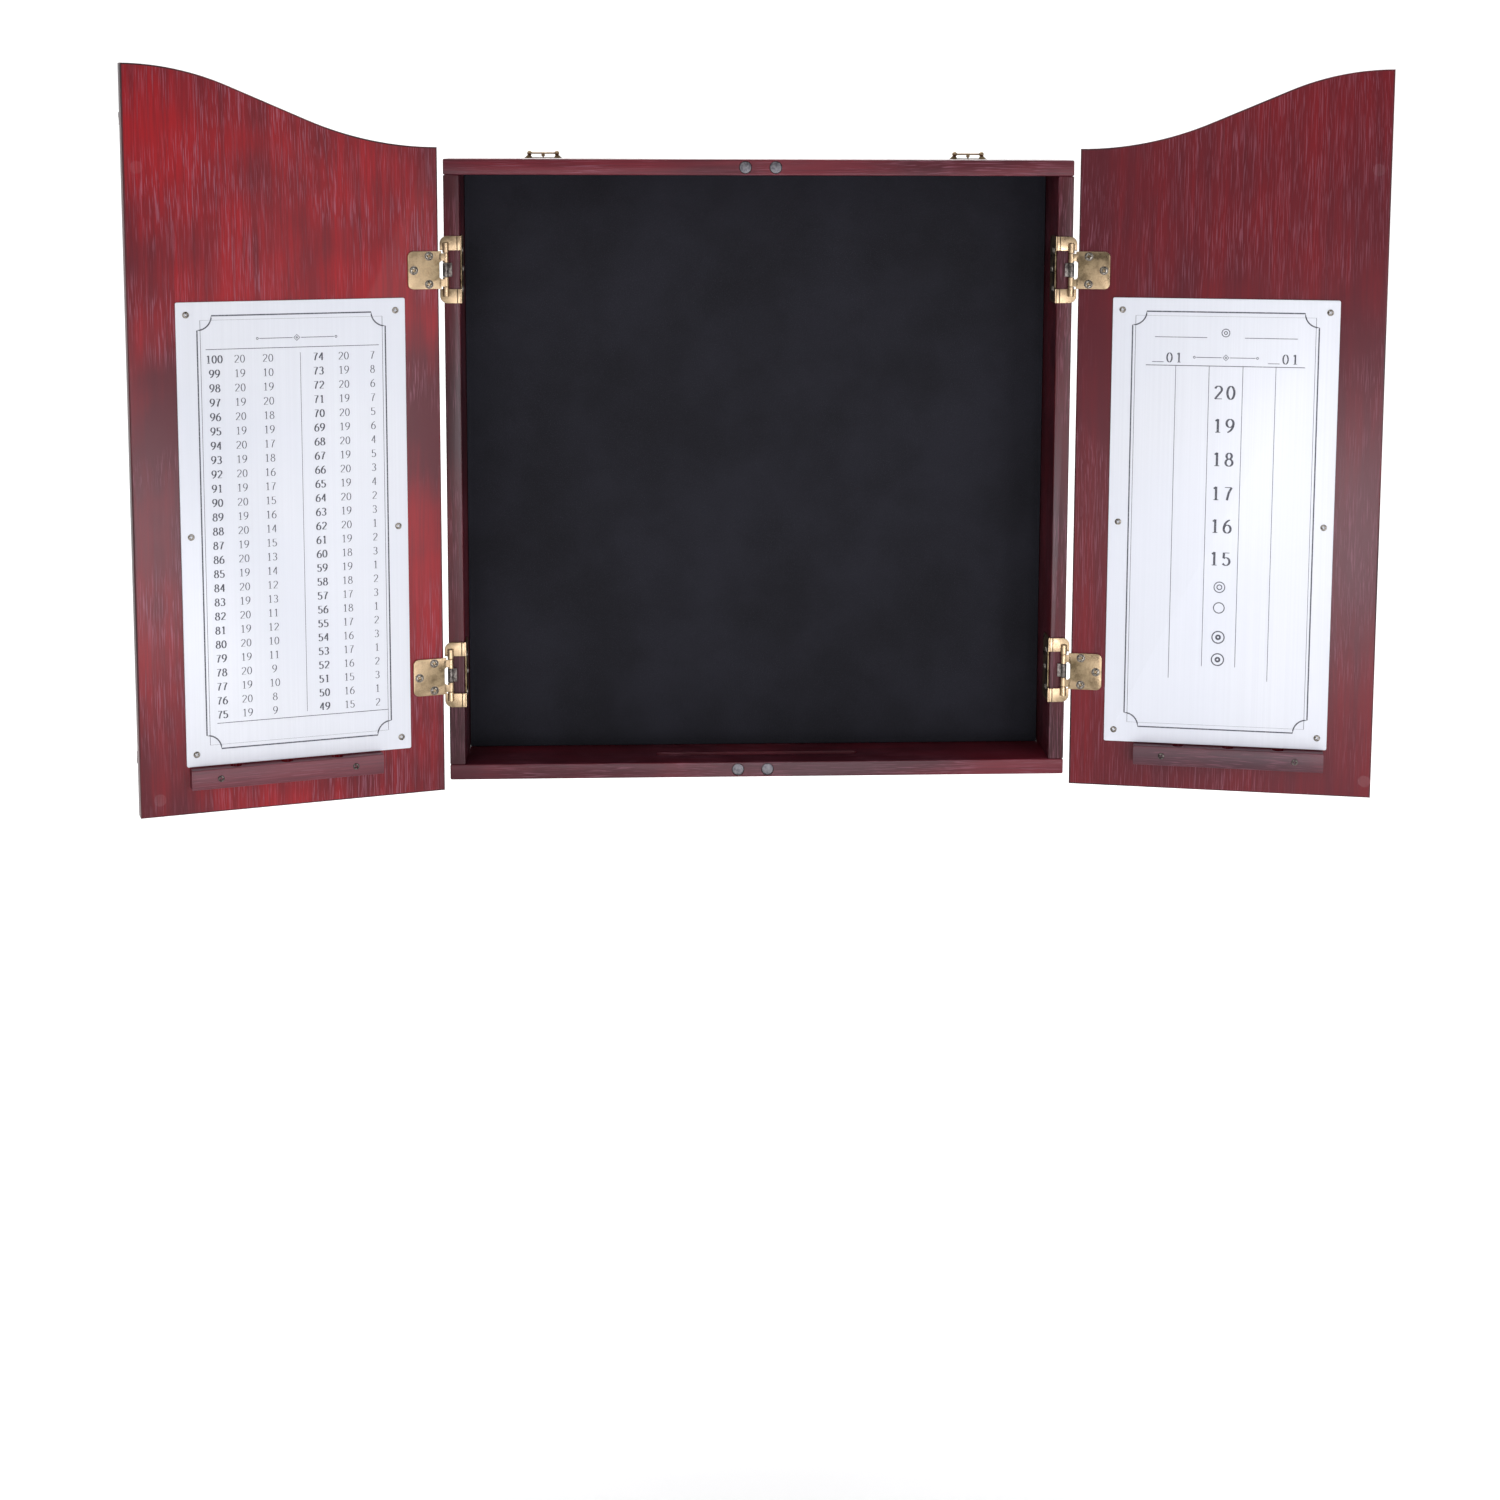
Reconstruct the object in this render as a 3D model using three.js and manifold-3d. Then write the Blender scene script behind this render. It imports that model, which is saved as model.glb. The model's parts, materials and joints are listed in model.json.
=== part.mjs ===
// Wall cabinet for a dartboard: a shallow wooden case with two arched doors on wrap-around hinges.
// Millimetres, +Z up. The origin is the centre of the rear face, +Y points into the wall and the
// cabinet opens towards -Y. The doors rest open.
import * as THREE from 'three';
import { mergeVertices } from 'three/addons/utils/BufferGeometryUtils.js';
import Module from 'manifold-3d';

const wasm = await Module();
wasm.setup();

// ---- driving dimensions ------------------------------------------------------------------------
const CASE_WIDTH = 520;
const CASE_HEIGHT = 520;
const BOARD = 13; // thickness of the four case boards
const INTERIOR_DEPTH = 61; // front edge of the case to the felt
const PANEL = 6; // back panel
const FELT = 2;
const FELT_MARGIN = 0.5;
const CASE_DEPTH = INTERIOR_DEPTH + FELT + PANEL;

const DOOR_WIDTH = 250;
const DOOR_THICKNESS = 15;
const DOOR_OVERHANG = 7.5; // how far a door reaches below the case
const DOOR_EDGE_HEIGHT = 537; // height of the hinge edge
const DOOR_TO_CASE = 2; // gap between a closed door and the case
const DOOR_INSET = 7.8; // from the outside of the case to the hinge edge of a door
const ARCH_ANGLE = 23 * Math.PI / 180; // slope of the straight stretch of the arch
const ARCH_HOLLOW_RADIUS = 270; // hollow curve that starts at the hinge edge
const ARCH_CROWN_RADIUS = 210; // round curve that ends level at the free edge
const LEFT_OPEN = 161.7 * Math.PI / 180; // rest angles, from closed
const RIGHT_OPEN = 167.1 * Math.PI / 180;

const PIVOT_INSET = 1.7; // from the outside of the case to a hinge pin
const PIVOT_FORWARD = 2.6; // from the front of the case to a hinge pin
const HINGE_HEIGHT = 169.5; // above and below the middle of the case

const GAP = 0.3; // between neighbouring solids of a door
const FIT = 0.1; // between neighbouring solids of the case
const ROUND = 16; // sides of a round piece
const DISC_ROUND = 24; // sides of magnets and strikes
const SCREW_SIDES = 12;
const HOLE_SIDES = 8; // sides of a screw's hole

// ---- hinges ------------------------------------------------------------------------------------
const METAL = 1.4; // thickness of hinge leaves
const BARREL_RADIUS = 2.6;
const BORE_RADIUS = 1.5;
const PIN_RADIUS = 1.2;
const BARREL_HALF = 22;
const ARM_INNER = 15.9; // heights are counted from the middle of the hinge
const ARM_OUTER = 27.6;
const ARM_REACH = 5; // outwards from the pin
const ARM_CORNER = 6;
const FRAME_KNUCKLE_FROM = 14;
const DOOR_KNUCKLE_FROM = 6;
const DOOR_KNUCKLE_TO = 13.7;
const SPRING_HALF = 5.6;
const SPRING_TONGUE = 5;
const WRAP_DEPTH = 26; // frame leaf along the inside of the case side
const WRAP_SETBACK = 3; // between the arms the wrap starts behind the closed door leaf
const LEAF_HALF = 15.5; // half the height of a door leaf
const LEAF_LENGTH = 26;
const LEAF_OVERHANG = 2; // past the hinge edge of the door
const LEAF_CORNER = 4.5;
const LEAF_NOTCH_HALF = 7.5;
const LEAF_NOTCH = 1.5;
const WRAP_SCREWS = [[9, -16], [16, 0], [9, 16]]; // from the case front, and height
const LEAF_SCREWS = [[8.4, -11.5], [21, 0], [8.4, 11.5]]; // from the hinge edge, and height
const SCREW_RADIUS = 3.1;
const SCREW_RISE = 1;
const SCREW_TAPER = 0.7; // top of a screw's head over its foot

// ---- door furniture ----------------------------------------------------------------------------
const MOULDING_INSET = 41; // from the hinge edge to the outside of the bead
const MOULDING_BOTTOM = 42.5;
const MOULDING_BELOW_ARCH = 38;
const MOULDING_WIDTH = 10;
const MOULDING_RISE = 3.6;
// Across the bead from its outer edge and up from the door, as shares of its width and rise.
const MOULDING_SECTION = [
  [0, 0], [0, 0.35], [0.12, 0.75], [0.3, 1],
  [0.55, 1], [0.75, 0.8], [1, 0.45], [1, 0],
];
const CHART_WIDTH = 184;
const CHART_HEIGHT = 375.5;
const CHART_FROM_EDGE = 29;
const CHART_BOTTOM = 39.5;
const CHART_THICKNESS = 1.5;
const CHART_SCREW_INSET_X = 8;
const CHART_SCREW_INSET_Z = 10;
const HOLDER_LENGTH = 156.5;
const HOLDER_HEIGHT = 16.5;
const HOLDER_DEPTH = 10;
const HOLDER_FROM_EDGE = 54;
const HOLDER_BOTTOM = 22;
const HOLDER_SCREW_SPACING = 110;
const DART_SPACING = 41.3;
const DART_SLOT_HALF = 4.5;
const DART_SLOT_STRAIGHT = 2.5;
const SMALL_HEAD_RADIUS = 2.7;
const SMALL_HEAD_RISE = 0.9;
const SHANK_RADIUS = 1.3;
const SHANK_LENGTH = 8;
const MAGNET_RADIUS = 5;
const MAGNET_LENGTH = 8;
const MAGNET_HALF_SPACING = 12.5;
const BOTTOM_MAGNET_SHIFT = -5; // the bottom pair sits left of the middle
const STRIKE_THICKNESS = 1.2;

// ---- case furniture ----------------------------------------------------------------------------
const GROOVE_LENGTH = 174;
const GROOVE_HALF_WIDTH = 5.2;
const GROOVE_DEPTH = 3;
const GROOVE_FROM_FRONT = 29.5;
const HANGER_SPACING = 361;
const HANGER_METAL = 1.5;
const HANGER_HALF_WIDTH = 16.5;
const HANGER_BELOW = 11; // below the top of the case
const HANGER_POST = 11.5; // from the middle to a round post
const HANGER_POST_RISE = 4.2;
const HANGER_POST_RADIUS = 2;
const HANGER_BAR = 1.6;
const HANGER_DIAMOND = 1.7; // half width of the middle post
const HANGER_SILL = 0.6; // bottom of the openings, above the case
const HANGER_WING = 1; // roundness of the wings

// ---- places worked out from the dimensions -----------------------------------------------------
const HALF_W = CASE_WIDTH / 2;
const HALF_H = CASE_HEIGHT / 2;
const INNER_W = HALF_W - BOARD;
const INNER_H = HALF_H - BOARD;
const PIVOT_X = HALF_W - PIVOT_INSET;
const PIVOT_Y = -CASE_DEPTH - PIVOT_FORWARD;
const DOOR_BOTTOM = -HALF_H - DOOR_OVERHANG;
const EDGE_X = DOOR_INSET - PIVOT_INSET; // hinge edge of a closed door, from the pin
const BACK_Y = PIVOT_FORWARD - DOOR_TO_CASE; // inside of a closed door, from the pin
const FRONT_Y = BACK_Y - DOOR_THICKNESS;

// ---- solids ------------------------------------------------------------------------------------
function solid(geometry) {
  const bare = geometry.index ? geometry.toNonIndexed() : geometry.clone();
  bare.deleteAttribute('normal');
  bare.deleteAttribute('uv');
  const merged = mergeVertices(bare, 1e-4);
  return new wasm.Manifold(new wasm.Mesh({
    numProp: 3,
    vertProperties: new Float32Array(merged.attributes.position.array),
    triVerts: new Uint32Array(merged.index.array),
  }));
}

function geometryOf(body) {
  const mesh = body.getMesh();
  const geometry = new THREE.BufferGeometry();
  geometry.setAttribute('position', new THREE.BufferAttribute(mesh.vertProperties, 3));
  geometry.setIndex(new THREE.BufferAttribute(mesh.triVerts, 1));
  geometry.computeVertexNormals();
  return geometry;
}

function join(...geometries) {
  return geometryOf(geometries.map(solid).reduce((whole, next) => whole.add(next)));
}

function cut(geometry, ...tools) {
  return geometryOf(tools.map(solid).reduce((whole, next) => whole.subtract(next), solid(geometry)));
}

function ordered(a, b) {
  return a < b ? [a, b] : [b, a];
}

function block(x, y, z) {
  const geometry = new THREE.BoxGeometry(x[1] - x[0], y[1] - y[0], z[1] - z[0]);
  return geometry.translate((x[0] + x[1]) / 2, (y[0] + y[1]) / 2, (z[0] + z[1]) / 2);
}

function rodZ(radius, x, y, z, sides = ROUND) {
  const geometry = new THREE.CylinderGeometry(radius, radius, z[1] - z[0], sides);
  return geometry.rotateX(Math.PI / 2).translate(x, y, (z[0] + z[1]) / 2);
}

function rodY(radius, x, y, z, sides = ROUND) {
  const geometry = new THREE.CylinderGeometry(radius, radius, y[1] - y[0], sides);
  return geometry.translate(x, (y[0] + y[1]) / 2, z);
}

// A shape drawn in X and Z, extruded from y[0] to y[1].
function plate(shape, y, curveSegments = 8) {
  const options = { depth: y[1] - y[0], bevelEnabled: false, curveSegments };
  return new THREE.ExtrudeGeometry(shape, options).rotateX(Math.PI / 2).translate(0, y[1], 0);
}

// A screw standing on y = seat: a domed head towards +Y and a shank towards -Y.
function screw(x, seat, z) {
  const outline = [
    [0, -SHANK_LENGTH],
    [SHANK_RADIUS, -SHANK_LENGTH + SHANK_RADIUS],
    [SHANK_RADIUS, 0],
    [SMALL_HEAD_RADIUS, 0],
    [SMALL_HEAD_RADIUS * SCREW_TAPER, SMALL_HEAD_RISE],
    [0, SMALL_HEAD_RISE],
  ];
  const points = outline.map(([radius, along]) => new THREE.Vector2(radius, along));
  return new THREE.LatheGeometry(points, SCREW_SIDES).translate(x, seat, z);
}

// ---- materials ---------------------------------------------------------------------------------
function finish(color, roughness, metalness = 0) {
  return new THREE.MeshStandardMaterial({ color, roughness, metalness });
}

const wood = finish(0x6b2430, 0.42);
const darkWood = finish(0x4d2129, 0.45);
const feltCloth = finish(0x1b1a1f, 1);
const brass = finish(0x9c865c, 0.4, 1);
const steel = finish(0x8f8d8a, 0.35, 1);
const magnetIron = finish(0x5b5a5c, 0.5, 0.8);
const chartPanel = finish(0xe6e8ec, 0.35);

const cabinet = new THREE.Group();

function piece(name, geometry, material, group = cabinet) {
  const mesh = new THREE.Mesh(geometry, material);
  mesh.name = name;
  group.add(mesh);
}

const SIDES = [['left', -1], ['right', 1]];
const LEVELS = [['upper', HINGE_HEIGHT], ['lower', -HINGE_HEIGHT]];

// ---- case --------------------------------------------------------------------------------------
const depthSpan = [-CASE_DEPTH, 0];

// An ornamental wall hanger: two round posts joined by a bar over two openings, with curved wings.
function hangerOutline() {
  const shape = new THREE.Shape();
  const barTop = HANGER_POST_RISE + HANGER_BAR / 2;
  const barBottom = HANGER_POST_RISE - HANGER_BAR / 2;
  const wing = HANGER_HALF_WIDTH - HANGER_WING;
  shape.moveTo(-HANGER_HALF_WIDTH, -HANGER_BELOW);
  shape.lineTo(HANGER_HALF_WIDTH, -HANGER_BELOW);
  shape.lineTo(HANGER_HALF_WIDTH, 0);
  shape.quadraticCurveTo(wing, barTop - HANGER_WING, HANGER_POST, barTop);
  shape.lineTo(-HANGER_POST, barTop);
  shape.quadraticCurveTo(-wing, barTop - HANGER_WING, -HANGER_HALF_WIDTH, 0);
  for (const side of [-1, 1]) {
    const outer = HANGER_POST - HANGER_POST_RADIUS;
    const hole = new THREE.Path();
    hole.moveTo(side * HANGER_DIAMOND, HANGER_SILL);
    hole.lineTo(side * outer, HANGER_SILL);
    hole.lineTo(side * outer, barBottom);
    hole.lineTo(side * (HANGER_DIAMOND + HANGER_BAR), barBottom);
    shape.holes.push(hole);
  }
  return shape;
}

function hanger(x) {
  const body = plate(hangerOutline(), [-HANGER_METAL, 0]);
  const posts = [-HANGER_POST, HANGER_POST].map((at) => {
    const ball = new THREE.SphereGeometry(HANGER_POST_RADIUS, 10, 8);
    return ball.translate(at, -HANGER_METAL, HANGER_POST_RISE);
  });
  return join(body, ...posts).translate(x, -FIT, HALF_H);
}

function hangerPocket(x) {
  const half = HANGER_HALF_WIDTH + FIT;
  const depth = HANGER_METAL + 2 * FIT;
  return block([x - half, x + half], [-depth, 1], [HALF_H - HANGER_BELOW - FIT, HALF_H + 1]);
}

function magnetHole(x, z) {
  return rodY(MAGNET_RADIUS + FIT, x, [-CASE_DEPTH - 1, -CASE_DEPTH + MAGNET_LENGTH + FIT], z, DISC_ROUND);
}

function magnet(x, z) {
  return rodY(MAGNET_RADIUS, x, [-CASE_DEPTH + FIT, -CASE_DEPTH + MAGNET_LENGTH], z, DISC_ROUND);
}

// A trough with round ends, cut by a capsule that stands partly above the board.
function markerGroove() {
  const radius = (GROOVE_HALF_WIDTH ** 2 + GROOVE_DEPTH ** 2) / (2 * GROOVE_DEPTH);
  const capsule = new THREE.CapsuleGeometry(radius, GROOVE_LENGTH - 2 * GROOVE_HALF_WIDTH, 4, 20);
  const height = -INNER_H + radius - GROOVE_DEPTH;
  return capsule.rotateZ(Math.PI / 2).translate(0, -CASE_DEPTH + GROOVE_FROM_FRONT, height);
}

const railZ = HALF_H - BOARD / 2;
const magnetPlaces = [
  ['magnet_top_left', -MAGNET_HALF_SPACING, railZ],
  ['magnet_top_right', MAGNET_HALF_SPACING, railZ],
  ['magnet_bottom_left', BOTTOM_MAGNET_SHIFT - MAGNET_HALF_SPACING, -railZ],
  ['magnet_bottom_right', BOTTOM_MAGNET_SHIFT + MAGNET_HALF_SPACING, -railZ],
];
const magnetHoles = magnetPlaces.map(([, x, z]) => magnetHole(x, z));
const hangerPlaces = SIDES.map(([, sign]) => sign * HANGER_SPACING / 2);

const topBoard = block([-HALF_W, HALF_W], depthSpan, [INNER_H, HALF_H]);
const bottomBoard = block([-HALF_W, HALF_W], depthSpan, [-HALF_H, -INNER_H]);
piece('case_top', cut(topBoard, ...magnetHoles.slice(0, 2), ...hangerPlaces.map(hangerPocket)), wood);
piece('case_bottom', cut(bottomBoard, ...magnetHoles.slice(2), markerGroove()), wood);
for (const [side, sign] of SIDES) {
  const x = ordered(sign * INNER_W, sign * HALF_W);
  piece(`case_side_${side}`, block(x, depthSpan, [-INNER_H, INNER_H]), wood);
  piece(`hanger_${side}`, hanger(sign * HANGER_SPACING / 2), brass);
}
piece('back_panel', block([-INNER_W, INNER_W], [-PANEL, 0], [-INNER_H, INNER_H]), darkWood);
const feltHalf = INNER_W - FELT_MARGIN;
const feltSpan = [-feltHalf, feltHalf];
piece('felt_lining', block(feltSpan, [-PANEL - FELT, -PANEL], feltSpan), feltCloth);
for (const [name, x, z] of magnetPlaces) {
  piece(name, magnet(x, z), magnetIron);
}

// ---- hinges, drawn for the left side with the pin at the origin --------------------------------
// The case lies towards +X and +Y of the pin, and the closed door towards +X and -Y.
function armOutline(sign) {
  const wallX = BOARD - PIVOT_INSET + METAL + FIT;
  const shape = new THREE.Shape();
  shape.moveTo(wallX, sign * ARM_INNER);
  shape.lineTo(-ARM_REACH, sign * ARM_INNER);
  shape.lineTo(-ARM_REACH, sign * (ARM_OUTER - ARM_CORNER));
  shape.quadraticCurveTo(-ARM_REACH, sign * ARM_OUTER, ARM_CORNER - ARM_REACH, sign * ARM_OUTER);
  shape.lineTo(wallX, sign * ARM_OUTER);
  return shape;
}

function leafScrew(x, seat, z) {
  const height = SCREW_RISE + METAL / 2;
  const head = new THREE.CylinderGeometry(SCREW_RADIUS * SCREW_TAPER, SCREW_RADIUS, height, ROUND);
  return head.translate(x, seat + SCREW_RISE - height / 2, z);
}

function frameLeaf() {
  const caseFront = PIVOT_FORWARD - FIT;
  const wallX = BOARD - PIVOT_INSET + FIT;
  const wrapX = [wallX, wallX + METAL];
  const wrapStart = caseFront + WRAP_SETBACK;
  const solids = [block(wrapX, [wrapStart, caseFront + WRAP_DEPTH], [-ARM_OUTER, ARM_OUTER])];
  for (const sign of [-1, 1]) {
    const armSpan = ordered(sign * ARM_INNER, sign * ARM_OUTER);
    const knuckleSpan = ordered(sign * FRAME_KNUCKLE_FROM, sign * BARREL_HALF);
    solids.push(block(wrapX, [caseFront - METAL, wrapStart + METAL], armSpan));
    solids.push(plate(armOutline(sign), [caseFront - METAL, caseFront]));
    solids.push(rodZ(BARREL_RADIUS, 0, 0, knuckleSpan));
  }
  const screws = WRAP_SCREWS.map(([along, z]) => {
    return leafScrew(0, 0, 0).rotateZ(-Math.PI / 2).translate(wallX + METAL, caseFront + along, z);
  });
  const bore = rodZ(BORE_RADIUS, 0, 0, [-BARREL_HALF - 1, BARREL_HALF + 1]);
  return cut(join(...solids, ...screws), bore);
}

function leafOutline() {
  const near = EDGE_X - LEAF_OVERHANG;
  const far = EDGE_X + LEAF_LENGTH;
  const shape = new THREE.Shape();
  shape.moveTo(near, -LEAF_HALF);
  shape.lineTo(far - LEAF_CORNER, -LEAF_HALF);
  shape.quadraticCurveTo(far, -LEAF_HALF, far, -LEAF_HALF + LEAF_CORNER);
  shape.lineTo(far, LEAF_HALF - LEAF_CORNER);
  shape.quadraticCurveTo(far, LEAF_HALF, far - LEAF_CORNER, LEAF_HALF);
  shape.lineTo(near, LEAF_HALF);
  shape.lineTo(near, LEAF_NOTCH_HALF);
  shape.lineTo(near + LEAF_NOTCH, LEAF_NOTCH_HALF - LEAF_NOTCH);
  shape.lineTo(near + LEAF_NOTCH, LEAF_NOTCH - LEAF_NOTCH_HALF);
  shape.lineTo(near, -LEAF_NOTCH_HALF);
  return shape;
}

function doorLeaf() {
  const seat = BACK_Y + FIT;
  const solids = [plate(leafOutline(), [seat, seat + METAL])];
  for (const sign of [-1, 1]) {
    const tabSpan = ordered(sign * LEAF_NOTCH_HALF, sign * DOOR_KNUCKLE_TO);
    solids.push(rodZ(BARREL_RADIUS, 0, 0, ordered(sign * DOOR_KNUCKLE_FROM, sign * DOOR_KNUCKLE_TO)));
    solids.push(block([0, EDGE_X], [seat, seat + METAL], tabSpan));
  }
  const screws = LEAF_SCREWS.map(([along, z]) => {
    return leafScrew(EDGE_X + along, seat + METAL, z);
  });
  const bore = rodZ(BORE_RADIUS, 0, 0, [-BARREL_HALF, BARREL_HALF]);
  return cut(join(...solids, ...screws), bore);
}

// The spring clip grips the pin in the middle of the barrel and bears on the case with a flat tongue.
function springClip() {
  const height = [-SPRING_HALF, SPRING_HALF];
  const ring = rodZ(BARREL_RADIUS - FIT, 0, 0, height);
  const tongue = block([0, SPRING_TONGUE], [BACK_Y + FIT, BACK_Y + FIT + METAL], height);
  return cut(join(ring, tongue), rodZ(BORE_RADIUS, 0, 0, [-BARREL_HALF, BARREL_HALF]));
}

for (const [side, sign] of SIDES) {
  const hinges = new THREE.Group();
  hinges.position.set(sign * PIVOT_X, PIVOT_Y, 0);
  hinges.scale.x = -sign;
  cabinet.add(hinges);
  for (const [level, z] of LEVELS) {
    const pin = rodZ(PIN_RADIUS, 0, 0, [-BARREL_HALF, BARREL_HALF]);
    piece(`hinge_frame_leaf_${level}_${side}`, frameLeaf().translate(0, 0, z), brass, hinges);
    piece(`hinge_pin_${level}_${side}`, pin.translate(0, 0, z), steel, hinges);
    piece(`hinge_spring_${level}_${side}`, springClip().translate(0, 0, z), steel, hinges);
  }
}

// ---- doors, drawn for the left side, closed, with the pin at the origin ------------------------
// Points of the arch from hinge edge to free edge: a hollow arc, a straight line and a crown arc.
function archPoints(steps) {
  const points = [];
  for (let i = 0; i <= steps; i += 1) {
    const angle = ARCH_ANGLE * i / steps;
    const rise = ARCH_HOLLOW_RADIUS * (1 - Math.cos(angle));
    points.push([ARCH_HOLLOW_RADIUS * Math.sin(angle), DOOR_EDGE_HEIGHT + rise]);
  }
  const [hollowX, hollowZ] = points[steps];
  const crownX = DOOR_WIDTH - ARCH_CROWN_RADIUS * Math.sin(ARCH_ANGLE);
  const crownZ = hollowZ + (crownX - hollowX) * Math.tan(ARCH_ANGLE);
  const centreZ = crownZ - ARCH_CROWN_RADIUS * Math.cos(ARCH_ANGLE);
  for (let i = 0; i <= steps; i += 1) {
    const angle = ARCH_ANGLE * (1 - i / steps);
    const x = DOOR_WIDTH - ARCH_CROWN_RADIUS * Math.sin(angle);
    points.push([x, centreZ + ARCH_CROWN_RADIUS * Math.cos(angle)]);
  }
  return points;
}

function doorPlace([u, height]) {
  return [EDGE_X + u, DOOR_BOTTOM + height];
}

const chartScrews = [];
for (const step of [-1, 0, 1]) {
  const height = CHART_BOTTOM + CHART_HEIGHT / 2 + step * (CHART_HEIGHT / 2 - CHART_SCREW_INSET_Z);
  chartScrews.push(doorPlace([CHART_FROM_EDGE + CHART_SCREW_INSET_X, height]));
  chartScrews.push(doorPlace([CHART_FROM_EDGE + CHART_WIDTH - CHART_SCREW_INSET_X, height]));
}
const holderMiddle = HOLDER_FROM_EDGE + HOLDER_LENGTH / 2;
const holderScrews = [-0.5, 0.5].map((step) => {
  return doorPlace([holderMiddle + step * HOLDER_SCREW_SPACING, HOLDER_BOTTOM + HOLDER_HEIGHT / 2]);
});

// The strikes face the magnets of their own side when the door is shut.
function strikePlaces(sign) {
  const fromTop = PIVOT_X - MAGNET_HALF_SPACING;
  return [[fromTop, railZ], [fromTop - sign * BOTTOM_MAGNET_SHIFT, -railZ]];
}

function doorPanel(sign) {
  const shape = new THREE.Shape();
  const outline = [[0, 0], [DOOR_WIDTH, 0], ...archPoints(10).reverse()].map(doorPlace);
  shape.setFromPoints(outline.map(([x, z]) => new THREE.Vector2(x, z)));
  const hole = SHANK_RADIUS + GAP;
  const pilots = [...chartScrews, ...holderScrews].map(([x, z]) => {
    return rodY(hole, x, [BACK_Y - SHANK_LENGTH, BACK_Y + 1], z, HOLE_SIDES);
  });
  const pockets = strikePlaces(sign).map(([x, z]) => {
    return rodY(MAGNET_RADIUS + GAP, x, [BACK_Y - STRIKE_THICKNESS - GAP, BACK_Y + 1], z, DISC_ROUND);
  });
  return cut(plate(shape, [FRONT_Y, BACK_Y]), ...pilots, ...pockets);
}

// A bead swept along a path on the outside of the door. inward(i) gives the offset of its inner edge.
function bead(path, inward) {
  const positions = [];
  path.forEach(([x, z], i) => {
    const [inX, inZ] = inward(i);
    for (const [across, rise] of MOULDING_SECTION) {
      const y = FRONT_Y - GAP - rise * MOULDING_RISE;
      positions.push(x + inX * across * MOULDING_WIDTH, y, z + inZ * across * MOULDING_WIDTH);
    }
  });
  const n = MOULDING_SECTION.length;
  const index = [];
  for (let i = 0; i + 1 < path.length; i += 1) {
    for (let k = 0; k < n; k += 1) {
      const a = i * n + k;
      const b = i * n + (k + 1) % n;
      index.push(a, b, b + n, a, b + n, a + n);
    }
  }
  const last = (path.length - 1) * n;
  for (let k = 1; k + 1 < n; k += 1) {
    index.push(0, k + 1, k);
    index.push(last, last + k, last + k + 1);
  }
  const geometry = new THREE.BufferGeometry();
  geometry.setAttribute('position', new THREE.Float32BufferAttribute(positions, 3));
  geometry.setIndex(index);
  geometry.computeVertexNormals();
  return geometry;
}

// The line of the arch lowered onto the moulding, from the side bead to the free edge.
function mouldingArch() {
  const points = archPoints(8).filter(([u]) => u > MOULDING_INSET + MOULDING_WIDTH);
  const startAngle = Math.asin(MOULDING_INSET / ARCH_HOLLOW_RADIUS);
  const start = [MOULDING_INSET, DOOR_EDGE_HEIGHT + ARCH_HOLLOW_RADIUS * (1 - Math.cos(startAngle))];
  return [start, ...points].map(([u, height]) => doorPlace([u, height - MOULDING_BELOW_ARCH]));
}

function mouldings() {
  const arch = mouldingArch();
  const [left, top] = arch[0];
  const bottom = DOOR_BOTTOM + MOULDING_BOTTOM;
  const free = EDGE_X + DOOR_WIDTH;
  const slopes = arch.map((_, i) => {
    const [nextX, nextZ] = arch[Math.min(i + 1, arch.length - 1)];
    const [lastX, lastZ] = arch[Math.max(i - 1, 0)];
    return Math.atan2(nextZ - lastZ, nextX - lastX);
  });
  const mitre = Math.tan((Math.PI / 2 - slopes[0]) / 2);
  const side = bead([[left, bottom + GAP], [left, top - GAP]], (i) => (i === 0 ? [1, 1] : [1, -mitre]));
  const foot = bead([[free, bottom], [left + GAP, bottom]], (i) => (i === 0 ? [0, 1] : [1, 1]));
  const head = bead(arch.map(([x, z], i) => (i === 0 ? [x + GAP, z] : [x, z])), (i) => {
    if (i === 0) return [1, -mitre];
    if (i === arch.length - 1) return [0, -1];
    return [Math.sin(slopes[i]), -Math.cos(slopes[i])];
  });
  return { side, bottom: foot, top: head };
}

function chart() {
  const [x, z] = doorPlace([CHART_FROM_EDGE, CHART_BOTTOM]);
  const shape = new THREE.Shape();
  shape.moveTo(x, z);
  shape.lineTo(x + CHART_WIDTH, z);
  shape.lineTo(x + CHART_WIDTH, z + CHART_HEIGHT);
  shape.lineTo(x, z + CHART_HEIGHT);
  for (const [screwX, screwZ] of chartScrews) {
    const hole = new THREE.Path();
    hole.absarc(screwX, screwZ, SHANK_RADIUS + GAP, 0, 2 * Math.PI, true);
    shape.holes.push(hole);
  }
  return plate(shape, [BACK_Y + GAP, BACK_Y + GAP + CHART_THICKNESS], 6);
}

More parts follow.
